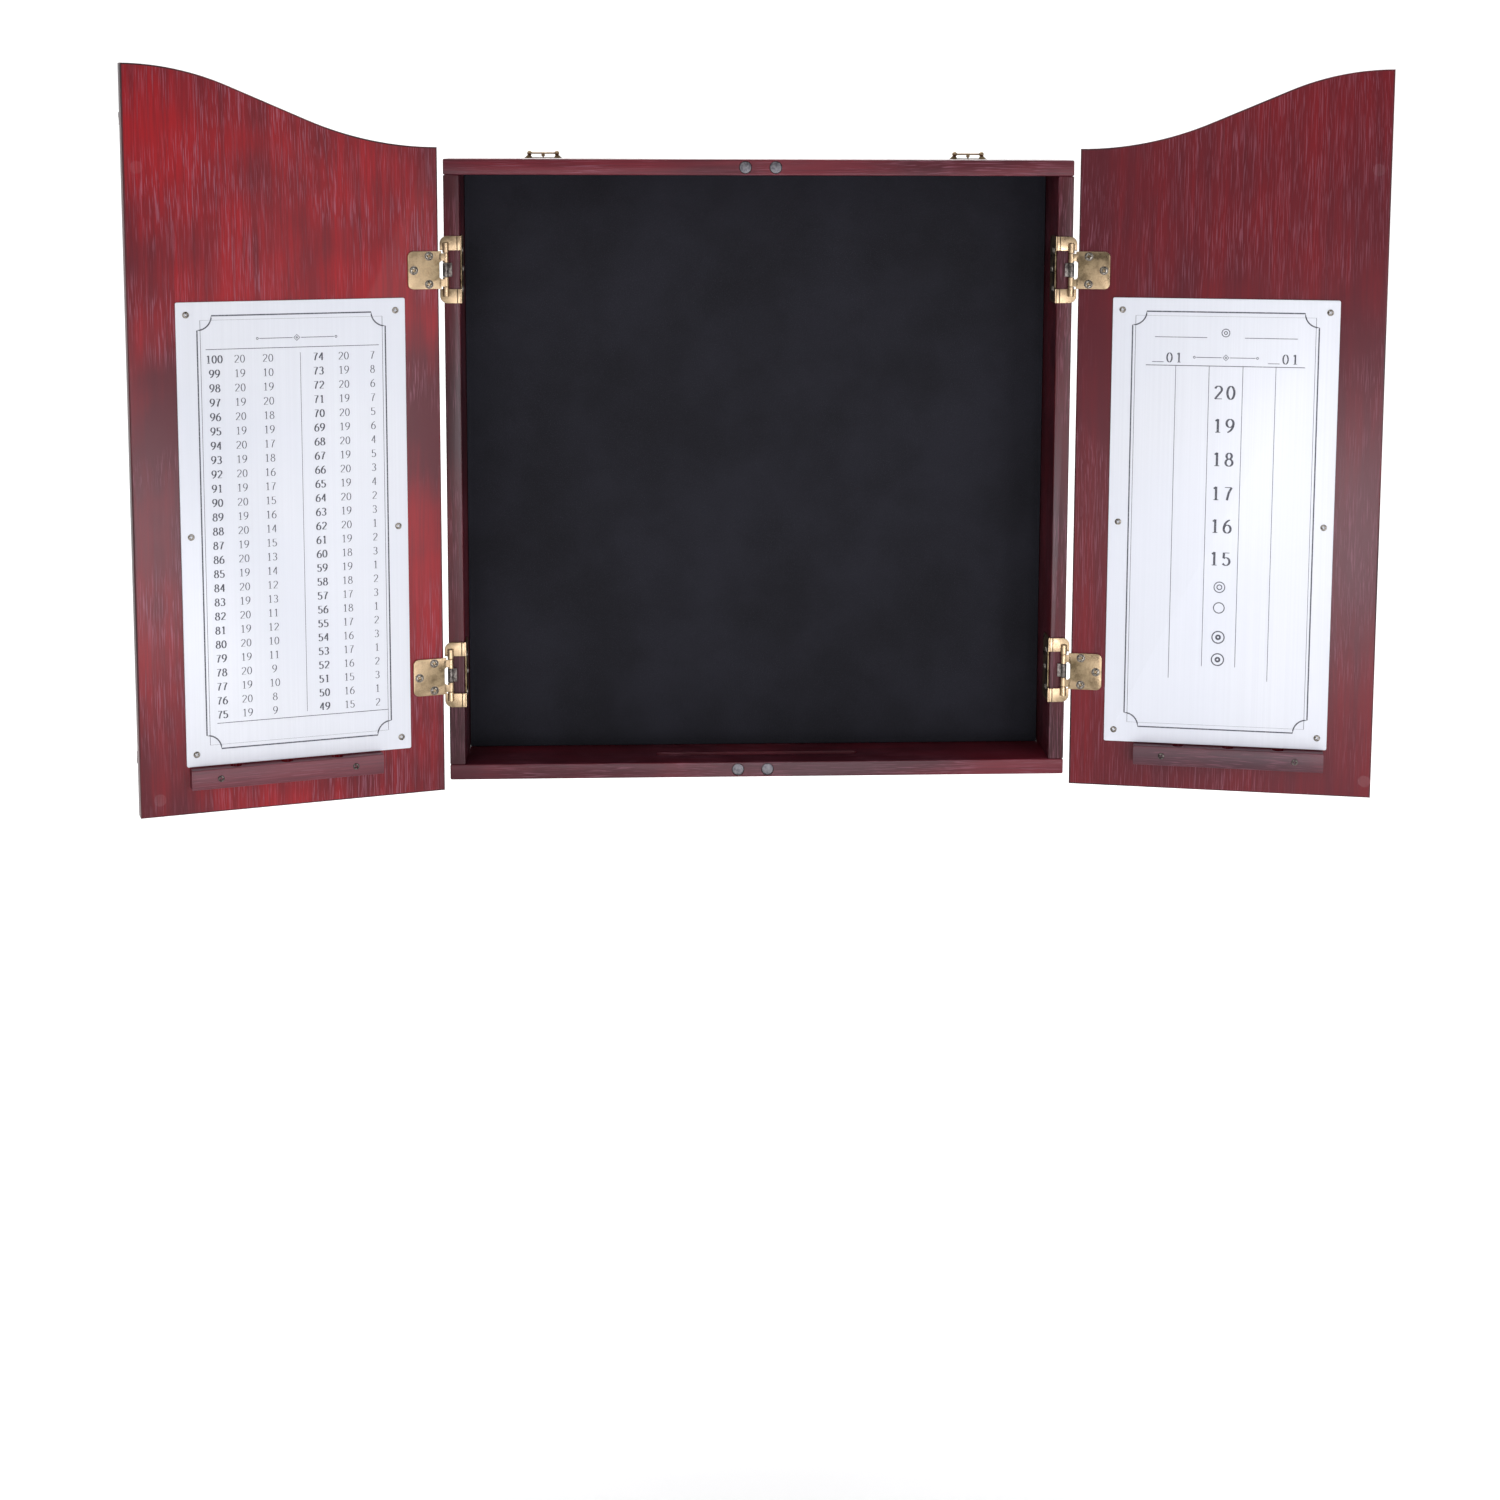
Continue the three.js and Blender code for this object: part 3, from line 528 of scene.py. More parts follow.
def lathe(profile, sides=32):
    """A profile of (radius, height), turned about Z."""
    turns = [2 * math.pi * i / sides for i in range(sides)]
    points = [(r * math.cos(a), r * math.sin(a), height) for r, height in profile for a in turns]
    return points, bands(len(profile), sides)


def rounded_rod(radius, low, high, round_off, sides=32):
    """A solid rod about Z with rounded rims."""
    corner = [(radius - round_off * (1 - math.cos(a)), round_off * (1 - math.sin(a)))
              for a in (math.pi / 2 * i / 3 for i in range(4))]
    bottom = [(r, low + z) for r, z in reversed(corner)]
    top = [(r, high - z) for r, z in corner]
    return lathe([(0, low), *bottom, *top, (0, high)], sides)


def pipe(outer, inner, low, high, round_off=0.25 * MM, sides=32):
    """A ring about Z with softened rims."""
    profile = [(inner, low), (outer - round_off, low), (outer, low + round_off), (outer, high - round_off),
               (outer - round_off, high), (inner, high), (inner, low)]
    return lathe(profile, sides)


def tube(path, radius, sides=16):
    """A rod that follows a path of points across Y, with closed ends."""
    points = []
    count = len(path)
    for i, here in enumerate(path):
        ahead = (path[min(i + 1, count - 1)] - path[max(i - 1, 0)]).normalized()
        across = ahead.cross(Vector((0, 1, 0))).normalized()
        other = ahead.cross(across)
        for k in range(sides):
            angle = 2 * math.pi * k / sides
            points.append(here + radius * (math.cos(angle) * across + math.sin(angle) * other))
    ends = [tuple(range(sides)), tuple(range((count - 1) * sides, count * sides))]
    return points, bands(count, sides) + ends


def cross_head(radius, rise, recess, sides=40, rings=14):
    """A domed screw head about Z, closed underneath. Its cross deepens by recess as a share of the rise."""
    points = []
    arm = radius * 0.17
    reach = radius * 0.62
    depth = rise * recess + radius * 0.22
    for ring in range(rings + 1):
        r = radius * ring / rings
        height = rise * max(0.0, 1 - (r / radius) ** 4) ** 0.5
        fade = max(0.0, min(1.0, (reach * 1.15 - r) / (reach * 0.35)))
        for i in range(sides):
            angle = 2 * math.pi * i / sides
            x, y = r * math.cos(angle), r * math.sin(angle)
            slot = max(0.0, min(1.0, (arm * 1.5 - min(abs(x), abs(y))) / (arm * 0.8)))
            points.append((x, y, height - depth * slot * fade))
    points += [(x, y, -0.1 * rise) for x, y, height in points[-sides:]]
    return points, bands(rings + 2, sides) + [tuple(range(len(points) - sides, len(points)))]


def facing(direction, place, spin=0.0):
    """A matrix that turns Z to a direction and moves to a place, after a spin about Z."""
    turn = Vector(direction).to_track_quat("Z", "Y").to_matrix().to_4x4()
    return Matrix.Translation(Vector(place)) @ turn @ Matrix.Rotation(spin, 4, "Z")


def circle(centre, radius, steps=24):
    """A hole: a circle, clockwise."""
    return arc(centre, radius, 360, 0, steps)[:-1]


def xy(points, unit=1.0):
    """Pairs as vectors, scaled by a unit."""
    return [Vector(p) * unit for p in points]


def brick(low, high, round_off):
    """A board with all its edges rounded, from corner to corner."""
    outline = rounded_rectangle((low[0], low[2]), (high[0], high[2]), 1.5 * round_off)
    return Solid().add(slab([outline], low[1], high[1], round_off), TO_XZ)


def carve(piece, *tools):
    """Cuts Solids out of a piece, in its own space."""
    for tool in tools:
        cutter = bpy.data.objects.new("tool", mesh_of(tool, "tool"))
        bpy.context.scene.collection.objects.link(cutter)
        cutter.matrix_world = piece.matrix_world
        modifier = piece.modifiers.new("cut", "BOOLEAN")
        modifier.object = cutter
        modifier.operation = "DIFFERENCE"
        modifier.solver = "EXACT"
        bpy.context.view_layer.update()
        result = piece.evaluated_get(bpy.context.evaluated_depsgraph_get())
        carved = bpy.data.meshes.new_from_object(result)
        piece.modifiers.remove(modifier)
        piece.data = carved
        bpy.data.objects.remove(cutter)
    piece.data.shade_smooth()
    piece.data.set_sharp_from_angle(angle=math.radians(35))


# ---- case ------------
def make_case():
    """Four boards, the upper and lower ones bored for the magnets, and the sheet at the back."""
    boards = {}
    for name in ("case_top", "case_bottom", "case_side_left", "case_side_right"):
        low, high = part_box(name)
        # the side boards take the darker wood that carries painted shade
        paint = "upright" if "side" in name else "rail"
        boards[name] = make(name + "_board", brick(low, high, 0.9 * MM), "case", [paint], [name], "wood")
    gap, sunk, mouth = 0.25 * MM, 0.2 * MM, 2 * MM
    for rail in ("top", "bottom"):
        tools = []
        for side in SIDES:
            name = f"magnet_{rail}_{side}"
            low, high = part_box(name)
            middle = (low + high) / 2
            radius = (high.x - low.x) / 2
            depth = high.y - low.y
            into = Matrix.Translation((middle.x, low.y, middle.z)) @ Matrix.Rotation(-math.pi / 2, 4, "X")
            tools.append(Solid().add(rounded_rod(radius + gap, -mouth, depth + sunk, 0.3 * MM, 48), into))
            plug = Solid().add(rounded_rod(radius, gap, depth, 0.5 * MM, 48), into)
            make(name + "_plug", plug, "case", ["magnet"], [name], "magnet")
        if rail == "bottom":
            tools.append(groove(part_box("case_bottom")))
        carve(boards["case_" + rail], *tools)
    make("back_panel_sheet", brick(*panel_back, 0.5 * MM), "case", ["plywood"], ["back_panel"], "dark_wood")


def groove(board):
    """A round-bottomed trough for pens, along the bottom board."""
    low, high = board
    half, depth, length, from_front = 5.2 * MM, 3 * MM, 174 * MM, 29.5 * MM
    radius = (half ** 2 + depth ** 2) / (2 * depth)
    reach = length / 2 - half
    profile = [(0, -reach - radius)]
    steps = 10
    for i in range(1, steps + 1):
        a = math.pi / 2 * i / steps
        profile.append((radius * math.sin(a), -reach - radius * math.cos(a)))
    profile += [(r, -h) for r, h in reversed(profile)]
    place = Matrix.Translation((0, low.y + from_front, high.z + radius - depth))
    return Solid().add(lathe(profile, 72), place @ Matrix.Rotation(math.pi / 2, 4, "Y"))


def make_felt():
    """One square of felt, glued flat, with the faint unevenness of cloth on glue."""
    low, high = felt_low, felt_high
    steps = 72
    ripples, unevenness, seed = 14, 0.12 * MM, 3.3
    points, faces = [], []
    for side in (low.y, high.y):
        for j in range(steps + 1):
            for i in range(steps + 1):
                x = low.x + (high.x - low.x) * i / steps
                z = low.z + (high.z - low.z) * j / steps
                wave = noise.noise(Vector((x * ripples, seed, z * ripples))) * unevenness
                points.append((x, side + (wave if side == low.y else 0), z))
    row = steps + 1
    back = row * row
    for j in range(steps):
        for i in range(steps):
            a = j * row + i
            faces.append((a, a + 1, a + row + 1, a + row))
            faces.append((back + a, back + a + row, back + a + row + 1, back + a + 1))
    edge = [*range(row)] + [row * j + steps for j in range(1, row)]
    edge += [row * steps + i for i in range(steps - 1, -1, -1)] + [row * j for j in range(steps - 1, 0, -1)]
    faces += [(a, b, back + b, back + a) for a, b in zip(edge, edge[1:] + edge[:1])]
    felt = make("felt_sheet", Solid().add((points, faces)), "case", ["felt"], ["felt_lining"], "felt")


def make_hanger(side):
    """A wall hanger: a plate with curved wings, and a bar between two balls over a lozenge."""
    low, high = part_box("hanger_" + side)
    half, foot, sill, sill_end, back = 16.5 * MM, 11 * MM, 0.7 * MM, 9.3 * MM, 1.5 * MM
    bar_height, bar_radius, post, ball_radius = 4.2 * MM, 0.75 * MM, 11.5 * MM, 2.1 * MM
    screw_x, screw_z = 10 * MM, -5.6 * MM
    wing = [(half - (1.2 * t * t + 3.8 * t) * MM, 4.6 * MM * t ** 1.6) for t in (i / 8 for i in range(1, 9))]
    outline = [(-half, -foot), (half, -foot), (half, -TINY), *wing, (sill_end, sill), (-sill_end, sill)]
    outline += [*((-x, z) for x, z in reversed(wing)), (-half, -TINY)]
    holes = [circle((x, screw_z), 1.9 * MM) for x in (-screw_x, screw_x)]
    solid = Solid().add(slab([xy(outline), *holes], -back, 0, 0.25 * MM), TO_XZ)
    bar = [Vector((x, -0.8 * MM, bar_height)) for x in (-post, 0, post)]
    solid.add(tube(bar, bar_radius))
    turns = [math.pi * i / 14 for i in range(15)]
    ball = [(ball_radius * math.sin(a), -ball_radius * math.cos(a)) for a in turns]
    for x in (-post, post):
        solid.add(lathe(ball, 28), Matrix.Translation((x, -1.3 * MM, bar_height - 0.1 * MM)))
    lozenge = xy([(0, 0.3), (1.8, 2.5), (0, 5.2), (-1.8, 2.5)], MM)
    solid.add(slab([lozenge], -1.6 * MM, -0.1 * MM, 0.3 * MM), TO_XZ)
    for x, spin in ((-screw_x, -0.5), (screw_x, 1.3)):
        place = facing((0, 1, 0), (x, -0.3 * MM, screw_z), spin)
        solid.add(cross_head(2.4 * MM, 0.28 * MM, 0.9), place, slot=1)
    at = Matrix.Translation(((low.x + high.x) / 2, high.y, top_high.z))
    make(f"hanger_{side}_bracket", solid, "case", ["brass", "steel"], ["hanger_" + side], "brass", matrix=at)


# ---- hinges, drawn for the left side with the pin at the origin ------------
METAL = 1.4 * MM
ARM_BACK = 2.5 * MM   # rear face of the arms that reach round the front of the case
WALL_X = 11.4 * MM    # inner face of the case side
SOFT = 0.25 * MM      # rounding of the leaves' edges
BORE = 1.35 * MM
PIN_RADIUS = 1.25 * MM
TO_YZ = Matrix(((0, 0, 1, 0), (1, 0, 0, 0), (0, 1, 0, 0), (0, 0, 0, 1)))  # drawing X and Y become Y and Z


def above_or_below(points, sign):
    """An outline drawn above the hinge's middle, or its mirror image below it, anticlockwise either way."""
    return xy(points) if sign > 0 else xy([(x, -z) for x, z in points])[::-1]


def leaf_screw(place, direction, spin):
    """A screw head with a washer ring pressed in the leaf round it."""
    solid = Solid()
    at = facing(direction, place, spin)
    solid.add(cross_head(3.1 * MM, 1.0 * MM, 0.35), at, slot=1)
    ring = xy([(3.0, -0.2), (3.7, -0.2), (3.55, 0.12), (3.1, 0.16), (3.0, -0.2)], MM)
    solid.add(lathe(ring, 36), at, slot=2)
    return solid.points, solid.faces, solid.slots


def frame_leaf():
    """The leaf on the case: a plate inside it, notched in the middle, and two arms to the outer knuckles."""
    solid = Solid()
    outer, inner = 27.6 * MM, 15.9 * MM
    front, notch, far, curve = 1.6 * MM, ARM_BACK + 3 * MM, ARM_BACK + 26 * MM, 3.5 * MM
    plate = [(front, -outer), (far - curve, -outer), *arc((far - curve, curve - outer), curve, -80, 0, 6),
             *arc((far - curve, outer - curve), curve, 0, 80, 6), (far - curve, outer), (front, outer),
             (front, inner), (notch, inner), (notch, -inner), (front, -inner)]
    solid.add(slab([xy(plate)], WALL_X, WALL_X + METAL, SOFT), TO_YZ)
    edge, arm_front, bend, crease = WALL_X + METAL, ARM_BACK - METAL, 1.9 * MM, 0.4 * MM
    tail, lap = WALL_X - 2.5 * MM, ARM_BACK + 2 * MM
    corner = [(tail, arm_front), *arc((edge - bend, arm_front + bend), bend, -90, 0, 8), (edge, lap),
              (WALL_X, lap), (WALL_X, ARM_BACK + crease), (WALL_X - crease, ARM_BACK), (tail, ARM_BACK)]
    root, tip, reach = WALL_X - 1.5 * MM, 6 * MM, 5 * MM
    arm = [(root, inner), (root, outer), (tip - reach, outer),
           *arc((tip - reach, outer - tip), tip, 90, 180, 8)[1:], (-reach, inner)]
    for sign in (-1, 1):
        solid.add(slab([xy(corner)], *sorted((sign * inner, sign * outer)), SOFT))
        solid.add(slab([above_or_below(arm, sign)], arm_front, ARM_BACK, SOFT), TO_XZ)
        solid.add(pipe(2.6 * MM, BORE, *sorted((sign * 14 * MM, sign * 22 * MM))))
    for depth, z, spin in ((9, -16, 0.5), (16, 0, 1.1), (9, 16, 0.2)):
        place = (edge, ARM_BACK + depth * MM, z * MM)
        solid.add(leaf_screw(place, (1, 0, 0), spin))
    return solid


def door_leaf():
    """The leaf on the door: a plate with a shallow notch, and tabs to the two inner knuckles."""
    solid = Solid()
    seat = panel_high.y + 0.1 * MM
    near, far, half, curve = leaf_near, leaf_high.x, 15.5 * MM, 4.5 * MM
    notch, cut_in = 7.5 * MM, 1.5 * MM
    outline = [(near, -half), *arc((far - curve, curve - half), curve, -90, 0, 8),
               *arc((far - curve, half - curve), curve, 0, 90, 8), (near, half), (near, notch),
               (near + cut_in, notch - cut_in), (near + cut_in, cut_in - notch), (near, -notch)]
    solid.add(slab([xy(outline)], seat, seat + METAL, 0.28 * MM), TO_XZ)
    inside, outside = 6 * MM, 13.7 * MM
    tab = rounded_rectangle((0.4 * MM, inside + 1.5 * MM), (panel_low.x, outside), 0.2 * MM)
    for sign in (-1, 1):
        solid.add(pipe(2.5 * MM, BORE, *sorted((sign * inside, sign * outside))))
        solid.add(slab([above_or_below(tab, sign)], seat, seat + METAL, 0.15 * MM), TO_XZ)
    for along_leaf, z, spin in ((8.4, -11.5, 0.3), (21, 0, 0.9), (8.4, 11.5, 1.3)):
        place = (panel_low.x + along_leaf * MM, seat + METAL, z * MM)
        solid.add(leaf_screw(place, (0, 1, 0), spin))
    return solid


def spring_clip():
    """A strip of spring steel rolled round the pin, ending in a flat tongue."""
    outer, inner, reach, half = 2.5 * MM, 1.5 * MM, 5 * MM, 5.6 * MM
    under, over = 0.75 * MM, 1.75 * MM
    outline = [*arc((0, 0), outer, 40, 330, 30), *arc((0, 0), inner, 330, 50, 30),
               (inner, under), (reach, under), (reach, over)]
    return Solid().add(slab([xy(outline)], -half, half, 0.12 * MM))


def make_hinges():
    leaf_paints = ["brass", "steel", "dark_steel"]
    pin_end = 22.2 * MM
    for side, sign in SIDES.items():
        for level, height in HINGE_LEVEL.items():
            suffix = f"{level}_{side}"
            at = Matrix.Translation(pins[side] + Vector((0, 0, height)))
            make("hinge_frame_" + suffix, frame_leaf(), "case", leaf_paints,
                 ["hinge_frame_leaf_" + suffix], "brass", matrix=at, mirror=sign > 0)
            pin = Solid().add(rounded_rod(PIN_RADIUS, -pin_end, pin_end, 0.6 * MM))
            make("hinge_rod_" + suffix, pin, "case", ["steel"], ["hinge_pin_" + suffix], "steel", matrix=at)
            make("hinge_clip_" + suffix, spring_clip(), "case", ["dark_steel"],
                 ["hinge_spring_" + suffix], "steel", matrix=at, mirror=sign > 0)
            lifted = door_matrix(side) @ Matrix.Translation((0, 0, height))
            make("hinge_door_" + suffix, door_leaf(), side + "_door", leaf_paints,
                 ["hinge_door_leaf_" + suffix], "brass", matrix=lifted, mirror=sign > 0)


# ---- doors ------------
def arch_points(steps, low=-1.0):
    """The arch, as (distance from the hinge edge, height above the door's foot), where that is over low."""
    points = []
    for i in range(steps + 1):
        angle = ARCH_ANGLE * i / steps
        points.append((HOLLOW * math.sin(angle), EDGE_HEIGHT + HOLLOW * (1 - math.cos(angle))))
    hollow_x, hollow_z = points[-1]
    crown_x = WIDTH - CROWN * math.sin(ARCH_ANGLE)
    crown_z = hollow_z + (crown_x - hollow_x) * math.tan(ARCH_ANGLE)
    centre = crown_z - CROWN * math.cos(ARCH_ANGLE)
    for i in range(steps + 1):
        angle = ARCH_ANGLE * (1 - i / steps)
        points.append((WIDTH - CROWN * math.sin(angle), centre + CROWN * math.cos(angle)))
    return [(u, height) for u, height in points if u > low]


def door_place(u, height):
    """A place on the door in X and Z, from its distance from the hinge edge and height above the foot."""
    return Vector((panel_low.x + u, panel_low.z + height))


def door_panel():
    """The door's board, with its own slots for its inside, outside and edge."""
    outline = [(0, 0), (WIDTH, 0), *reversed(arch_points(16))]
    outline = [door_place(*p) for p in outline]
    return Solid().add(slab([outline], panel_low.y, panel_high.y, 1.3 * MM, (2, 1, 0)), TO_XZ)


def bead_section():
    """Across and up, as shares: a rounded outer bead, a quirk, a hollow and a small inner ridge."""
    turns = [math.pi * i / 10 for i in range(1, 10)]
    falls = [i / 7 for i in range(1, 8)]
    section = [(0, -0.1), (0, 0.45)]
    section += [(0.2 - 0.2 * math.cos(a), 0.6 + 0.4 * math.sin(a)) for a in turns]
    section += [(0.40, 0.62), (0.43, 0.52)]
    section += [(0.45 + 0.37 * t, 0.62 - 0.36 * math.sin(math.pi / 2 * t)) for t in falls]
    section += [(0.84, 0.42), (0.88, 0.50), (0.94, 0.46), (1.0, 0.30), (1.0, -0.1)]
    return section


def bead(path, inward):
    """The moulding's section swept along (x, z) places. inward is the way to its inner edge at each."""
    section = bead_section()
    width, rise = 10 * MM, 3.6 * MM
    points = []
    for (x, z), (in_x, in_z) in zip(path, inward):
        points += [(x + in_x * a * width, panel_low.y - up * rise, z + in_z * a * width) for a, up in section]
    count = len(section)
    ends = [tuple(range(count)), tuple(range(len(points) - count, len(points)))]
    return Solid().add((points, bands(len(path), count) + ends))


def mouldings():
    """The applied frame: side and bottom straight, and a top that follows the arch, mitred together."""
    edge, foot, below, first_gap = 41 * MM, 42.5 * MM, 38 * MM, 10 * MM
    start_angle = math.asin(edge / HOLLOW)
    start = (edge, EDGE_HEIGHT + HOLLOW * (1 - math.cos(start_angle)))
    arch = [start, *arch_points(20, edge + first_gap)]
    arch = [door_place(u, height - below) for u, height in arch]
    slopes = []
    for i in range(len(arch)):
        step = arch[min(i + 1, len(arch) - 1)] - arch[max(i - 1, 0)]
        slopes.append(math.atan2(step.y, step.x))
    mitre = math.tan((math.pi / 2 - slopes[0]) / 2)
    foot_left = door_place(edge, foot)
    foot_right = door_place(WIDTH, foot)
    side = bead([foot_left, arch[0]], [(1, 1), (1, -mitre)])
    bottom = bead([foot_right, foot_left], [(0, 1), (1, 1)])
    leans = [(math.sin(a), -math.cos(a)) for a in slopes]
    leans[0], leans[-1] = (1, -mitre), (0, -1)
    return {"side": side, "bottom": bottom, "top": bead(arch, leans)}


def dart_holder():
    """A strip with three round-ended slots against the door, seen from above."""
    low, high = holder_low, holder_high
    half, depth, pitch = 4.5 * MM, 2.8 * MM, 41.3 * MM
    back = panel_high.y
    outline = [(high.x, back), (high.x, high.y), (low.x, high.y), (low.x, back)]
    middle = (low.x + high.x) / 2
    for step in (-1, 0, 1):
        centre = middle + step * pitch
        slot = arc((centre, back + depth), half, 180, 0, 16)
        outline += [(centre - half, back), *slot, (centre + half, back)]
    return Solid().add(slab([xy(outline)], low.z, high.z, 0.9 * MM))


# ---- prints ------------
def turned(points):
    """A figure drawn half a turn round in its box, 0.6 wide and 1 high."""
    return [Vector((0.6 - p.x, 1 - p.y)) for p in points]


SIX = [arc((0.3, 0.3), (0.25, 0.3), 90, 450, 20), arc((0.62, 0.3), (0.57, 0.7), 180, 104, 10)]
FIGURES = {
    "0": [arc((0.3, 0.5), (0.25, 0.48), 90, 450, 24)],
    "1": [xy([(0.32, 1), (0.32, 0)]), xy([(0.32, 0.98), (0.14, 0.85)]), xy([(0.14, 0.02), (0.5, 0.02)])],
    "2": [[*arc((0.3, 0.73), (0.24, 0.25), 165, -35, 14), Vector((0.05, 0.03))],
          xy([(0.05, 0.04), (0.56, 0.04)])],
    "3": [arc((0.27, 0.75), (0.22, 0.23), 150, -90, 14), arc((0.27, 0.27), (0.25, 0.25), 90, -150, 14)],
    "4": [xy([(0.42, 1), (0.42, 0)]), xy([(0.42, 0.98), (0.04, 0.31)]), xy([(0.04, 0.3), (0.58, 0.3)])],
    "5": [xy([(0.52, 0.96), (0.12, 0.96)]), xy([(0.12, 0.98), (0.1, 0.55)]),
          arc((0.27, 0.31), (0.26, 0.29), 130, -150, 16)],
    "6": SIX,
    "7": [xy([(0.06, 0.96), (0.55, 0.96)]), xy([(0.55, 0.96), (0.34, 0.55), (0.22, 0)])],
    "8": [arc((0.3, 0.76), (0.19, 0.22), 90, 450, 18), arc((0.3, 0.27), (0.25, 0.26), 90, 450, 20)],
    "9": [turned(stroke) for stroke in SIX],
}
INK = 0.06 * MM


def ribbon(path, width):
    """A thin raised line along a flat path. width is a length, or a function of the line's direction."""
    count = len(path)
    closed = (path[0] - path[-1]).length < 1e-6
    points = []
    for i, here in enumerate(path):
        before = path[count - 2 if closed and i == 0 else max(i - 1, 0)]
        after = path[1 if closed and i == count - 1 else min(i + 1, count - 1)]
        ahead = (after - before).normalized()
        half = (width(ahead) if callable(width) else width) / 2
        side = Vector((-ahead.y, ahead.x)) * half
        for level in (-INK, INK):
            points += [(here.x + side.x, here.y + side.y, level), (here.x - side.x, here.y - side.y, level)]
    faces = []
    for i in range(count - 1):
        a, b = 4 * i, 4 * i + 4
        faces += [(a, a + 1, b + 1, b), (a + 2, b + 2, b + 3, a + 3)]
        faces += [(a, b, b + 2, a + 2), (a + 1, a + 3, b + 3, b + 1)]
    last = 4 * (count - 1)
    faces += [(0, 2, 3, 1), (last, last + 1, last + 3, last + 2)]
    return points, faces


class Print:
    """A print on a board, drawn in mm by distance from the hinge edge and height above the door's foot."""

    def __init__(self, side):
        self.way = SIDES[side]
        self.solid = Solid()
        self.lift = Matrix.Translation((0, chart_front, 0)) @ TO_XZ

    def line(self, path, width):
        path = [door_place(u * MM, height * MM) for u, height in path]
        self.solid.add(ribbon(path, width * MM if not callable(width) else width), self.lift)

    def figures(self, text, u, height, size, weight, pitch=0.74):
        """Figures centred on a place, read on the open door. Weight and pitch are shares of size."""
        width = (len(text) - 1) * pitch * size + 0.6 * size

        def nib(ahead):
            return size * MM * weight * (0.32 + 0.68 * abs(ahead.y))

        for i, figure in enumerate(text):
            start = i * pitch * size - width / 2
            for stroke in FIGURES[figure]:
                path = [(u + self.way * (start + p.x * size), height + (p.y - 0.5) * size) for p in stroke]
                self.line(path, nib)

    def ring(self, u, height, radius, width):
        self.line([(p.x, p.y) for p in arc((u, height), radius, 0, 360, 28)], width)

    def ornament(self, u, height, reach):
        """A lozenge between two lines, with a dot at the far end of each."""
        lozenge, gap, dot, thin = 2.4, 3.4, 0.8, 0.5
        for sign in (-1, 1):
            self.line([(u + sign * gap, height), (u + sign * reach, height)], thin)
            self.ring(u + sign * (reach + 2 * dot), height, dot, thin)
        corners = [(0, lozenge), (lozenge, 0), (0, -lozenge), (-lozenge, 0), (0, lozenge)]
        self.line([(u + x, height + z) for x, z in corners], 0.6)
        self.ring(u, height, 0.6, thin)

    def border(self):
        """A heavy frame with hollow corners round a light rectangle."""
        left, foot, right, top, corner = 45.5, 53.0, 196.5, 404.0, 11.5
        path = []
        for x, z, start in ((left, foot, 90), (right, foot, 180), (right, top, 270), (left, top, 0)):
            path += [(p.x, p.y) for p in arc((x, z), corner, start, start - 90, 8)]
        self.line([*path, path[0]], 1.1)
        left, foot, right, top = 48.0, 56.5, 194.0, 400.5
        self.line([(left, foot), (right, foot), (right, top), (left, top), (left, foot)], 0.4)


def out_shot(score):
    """Two numbers that finish a score, the first counted three times over and the second twice.

    A score that no such pair finishes gets a filler pair.
    """
    pairs = ((a, (score - 3 * a) // 2) for a in range(20, 0, -1))
    return next(((a, b) for a, b in pairs if 3 * a + 2 * b == score and 0 < b <= 20), (19, 10))


def score_table():
    """Two blocks of three columns: a score in heavy figures, and the two numbers that finish it."""
    chart = Print("left")
    chart.border()
    chart.ornament(117.5, 385.0, 30)
    chart.line([(51, 377.2), (190, 377.2)], 0.5)
    chart.line([(47.5, 74), (188, 74)], 0.5)
    chart.line([(115, 373), (115, 78)], 0.35)
    rows, top, bottom, size = 26, 369.2, 81.0, 6.2
    for row in range(rows):
        height = top - row * (top - bottom) / (rows - 1)
        for first, columns in ((100, (183.5, 163.5, 141.0)), (74, (100.5, 80.0, 56.5))):
            score = first - row
            for u, number in zip(columns, (score, *out_shot(score))):
                chart.figures(str(number), u, height, size, 0.19 if number == score else 0.12)
    return chart.solid


def game_table():
    """Four rules down the board, with the numbers 20 to 15 and rings between the middle two."""
    chart = Print("right")
    middle = 121.8
    chart.border()
    for u in (64, 137):
        chart.line([(u, 383), (u + 42.5, 383)], 0.5)
    for radius in (3.2, 1.2):
        chart.ring(121.5, 387, radius, 0.7)
    chart.ornament(122, 366.5, 24)
    for u in (80, 174):
        chart.figures("01", u, 366.0, 8.0, 0.16, 0.95)
        chart.line([(u - 18, 362.3), (u - 8.5, 362.3)], 0.5)
    chart.line([(57, 359.5), (186, 359.5)], 0.6)
    for u, low in ((81.5, 96), (108.7, 107), (136.1, 107), (162.7, 96)):
        chart.line([(u, 359.5), (u, low)], 0.45)
    for i, height in enumerate((337.6, 310, 282, 253.5, 226, 198.5)):
        chart.figures(str(20 - i), middle, height, 11.2, 0.17, 0.9)
    for height in (174.5, 157):
        chart.ring(middle, height, 4.4, 0.8)
    chart.ring(middle, 174.5, 2.0, 0.8)
    for height in (132, 113):
        chart.ring(middle, height, 5.0, 1.0)
        chart.ring(middle, height, 1.6, 1.6)
    return chart.solid


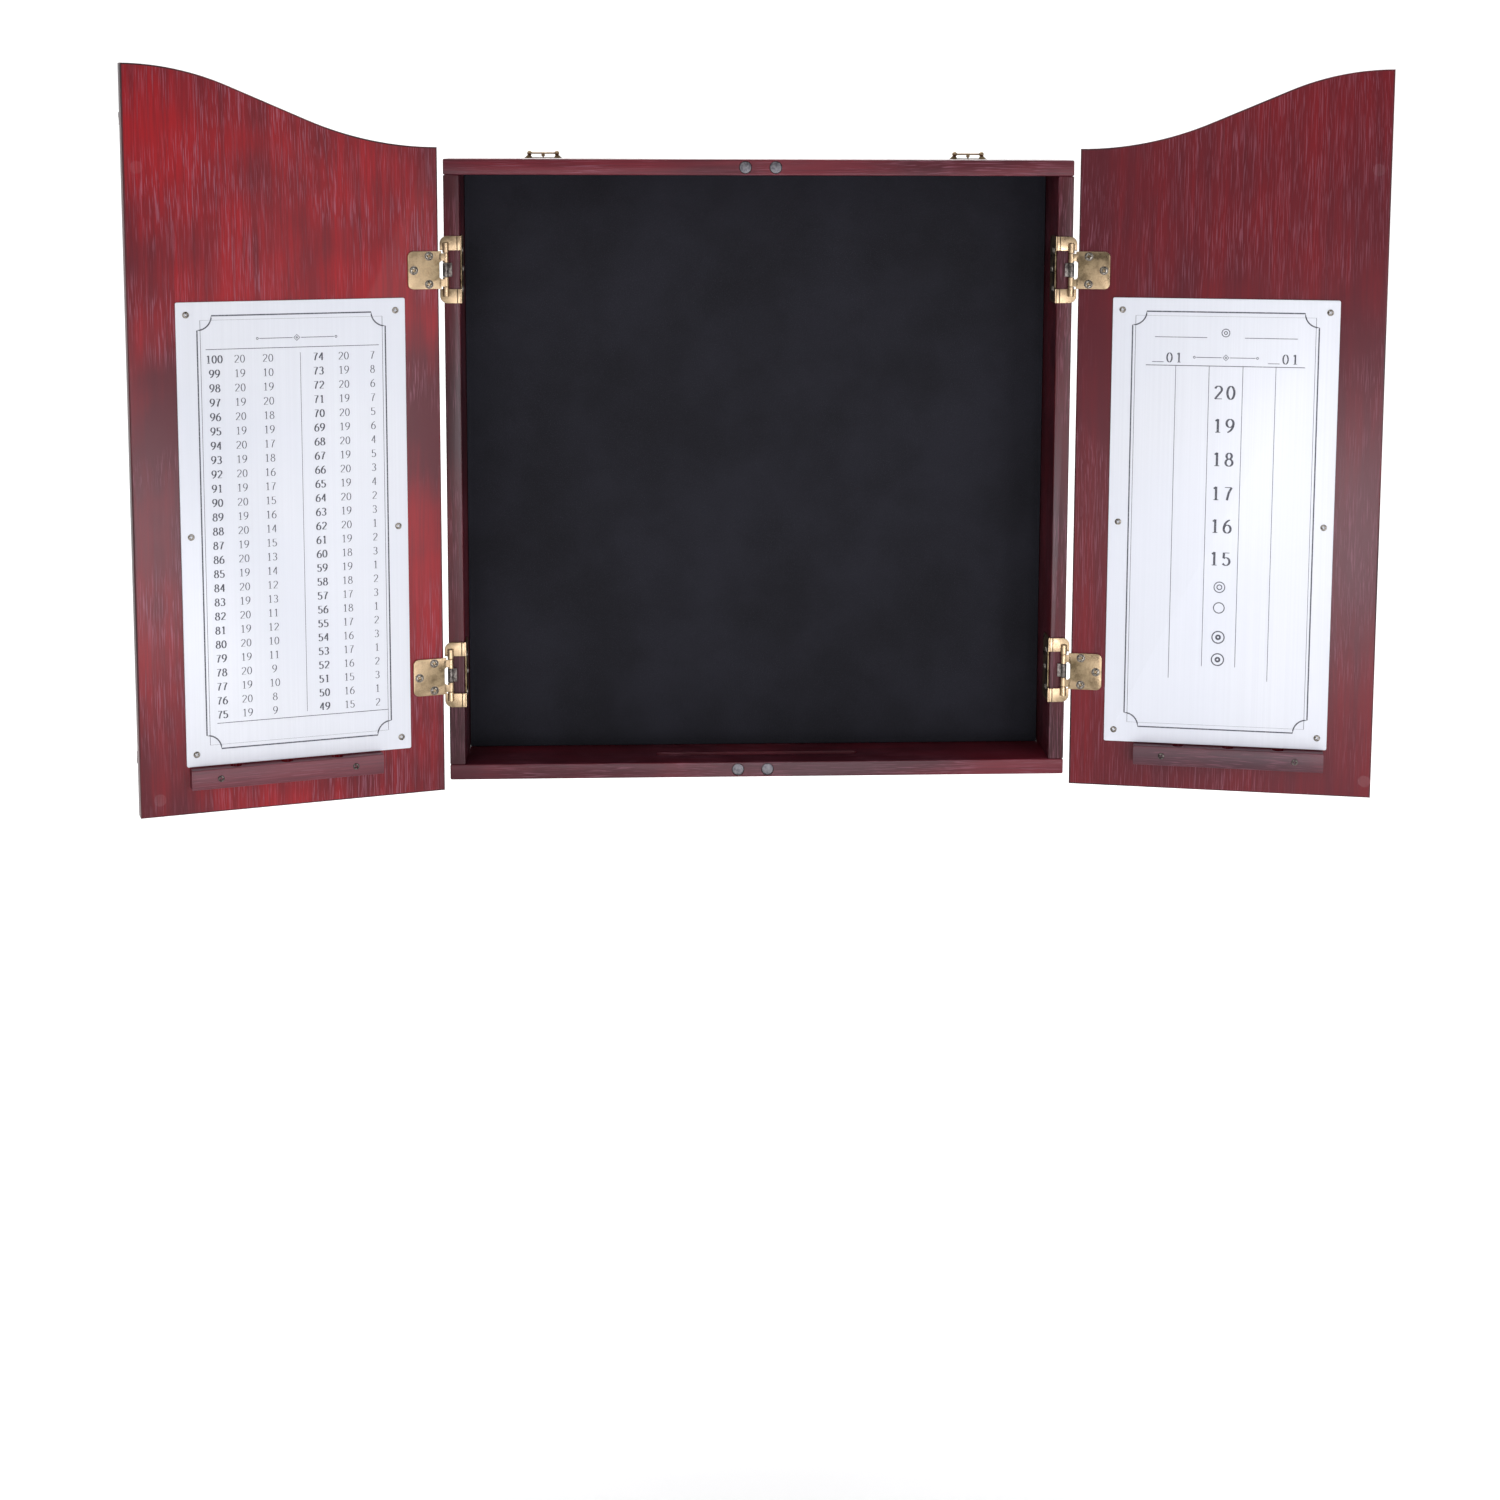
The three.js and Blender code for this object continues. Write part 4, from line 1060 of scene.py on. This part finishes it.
def screw_on_door(side, name, node, front, spin, paint):
    """A screw head where the frame has one, on a face of the given depth."""
    low, high = door_box(node, side)
    head = Solid().add(cross_head(2.7 * MM, 0.9 * MM, 0.4),
                       facing((0, 1, 0), ((low.x + high.x) / 2, front, (low.z + high.z) / 2), spin))
    make_on_door(side, name, head, [paint], [node], "steel")


def make_door(side):
    """Everything that rides on one door except its hinge leaves."""
    paints = ["inside_" + side, "outside", "edge"]
    make_on_door(side, "door_leaf", door_panel(), paints, ["door_panel_" + side], "wood")
    for part, solid in mouldings().items():
        paint = "moulding" if part == "side" else "moulding_level"
        node = f"moulding_{part}_{side}"
        make_on_door(side, "bead_" + part, solid, [paint], [node], "dark_wood", smooth=28)
    board = rounded_rectangle((chart_low.x, chart_low.z), (chart_high.x, chart_high.z), 1.5 * MM)
    sheet = Solid().add(slab([board], chart_front - 1.5 * MM, chart_front, 0.3 * MM), TO_XZ)
    make_on_door(side, "scorecard", sheet, ["chart"], ["scoreboard_" + side], "chart")
    figures = score_table() if side == "left" else game_table()
    make_on_door(side, "print", figures, ["ink"], [], "chart", smooth=0)
    make_on_door(side, "dart_rail", dart_holder(), ["holder"], ["dart_holder_" + side], "dark_wood")
    for i, spin in enumerate((0.35, 1.1, 0.7, 0.15, 1.4, 0.9), 1):
        node = f"scoreboard_screw_{i}_{side}"
        screw_on_door(side, f"chart_screw_{i}", node, chart_front, spin, "steel")
    for i, spin in enumerate((0.5, 1.5), 1):
        node = f"dart_holder_screw_{i}_{side}"
        screw_on_door(side, f"rail_screw_{i}", node, holder_high.y, spin, "dark_steel")
    for end in ("top", "bottom"):
        node = f"strike_{end}_{side}"
        low, high = door_box(node, side)
        at = facing((0, 1, 0), ((low.x + high.x) / 2, 0, (low.z + high.z) / 2))
        disc = Solid().add(rounded_rod(5 * MM, low.y, high.y + TINY, TINY / 2, 48), at)
        make_on_door(side, "strike_disc_" + end, disc, ["inside_" + side], [node], "wood", smooth=0)


make_floor()
make_world()
make_lamps()
make_camera()
make_case()
make_felt()
make_hinges()
for side in SIDES:
    make_hanger(side)
    make_door(side)
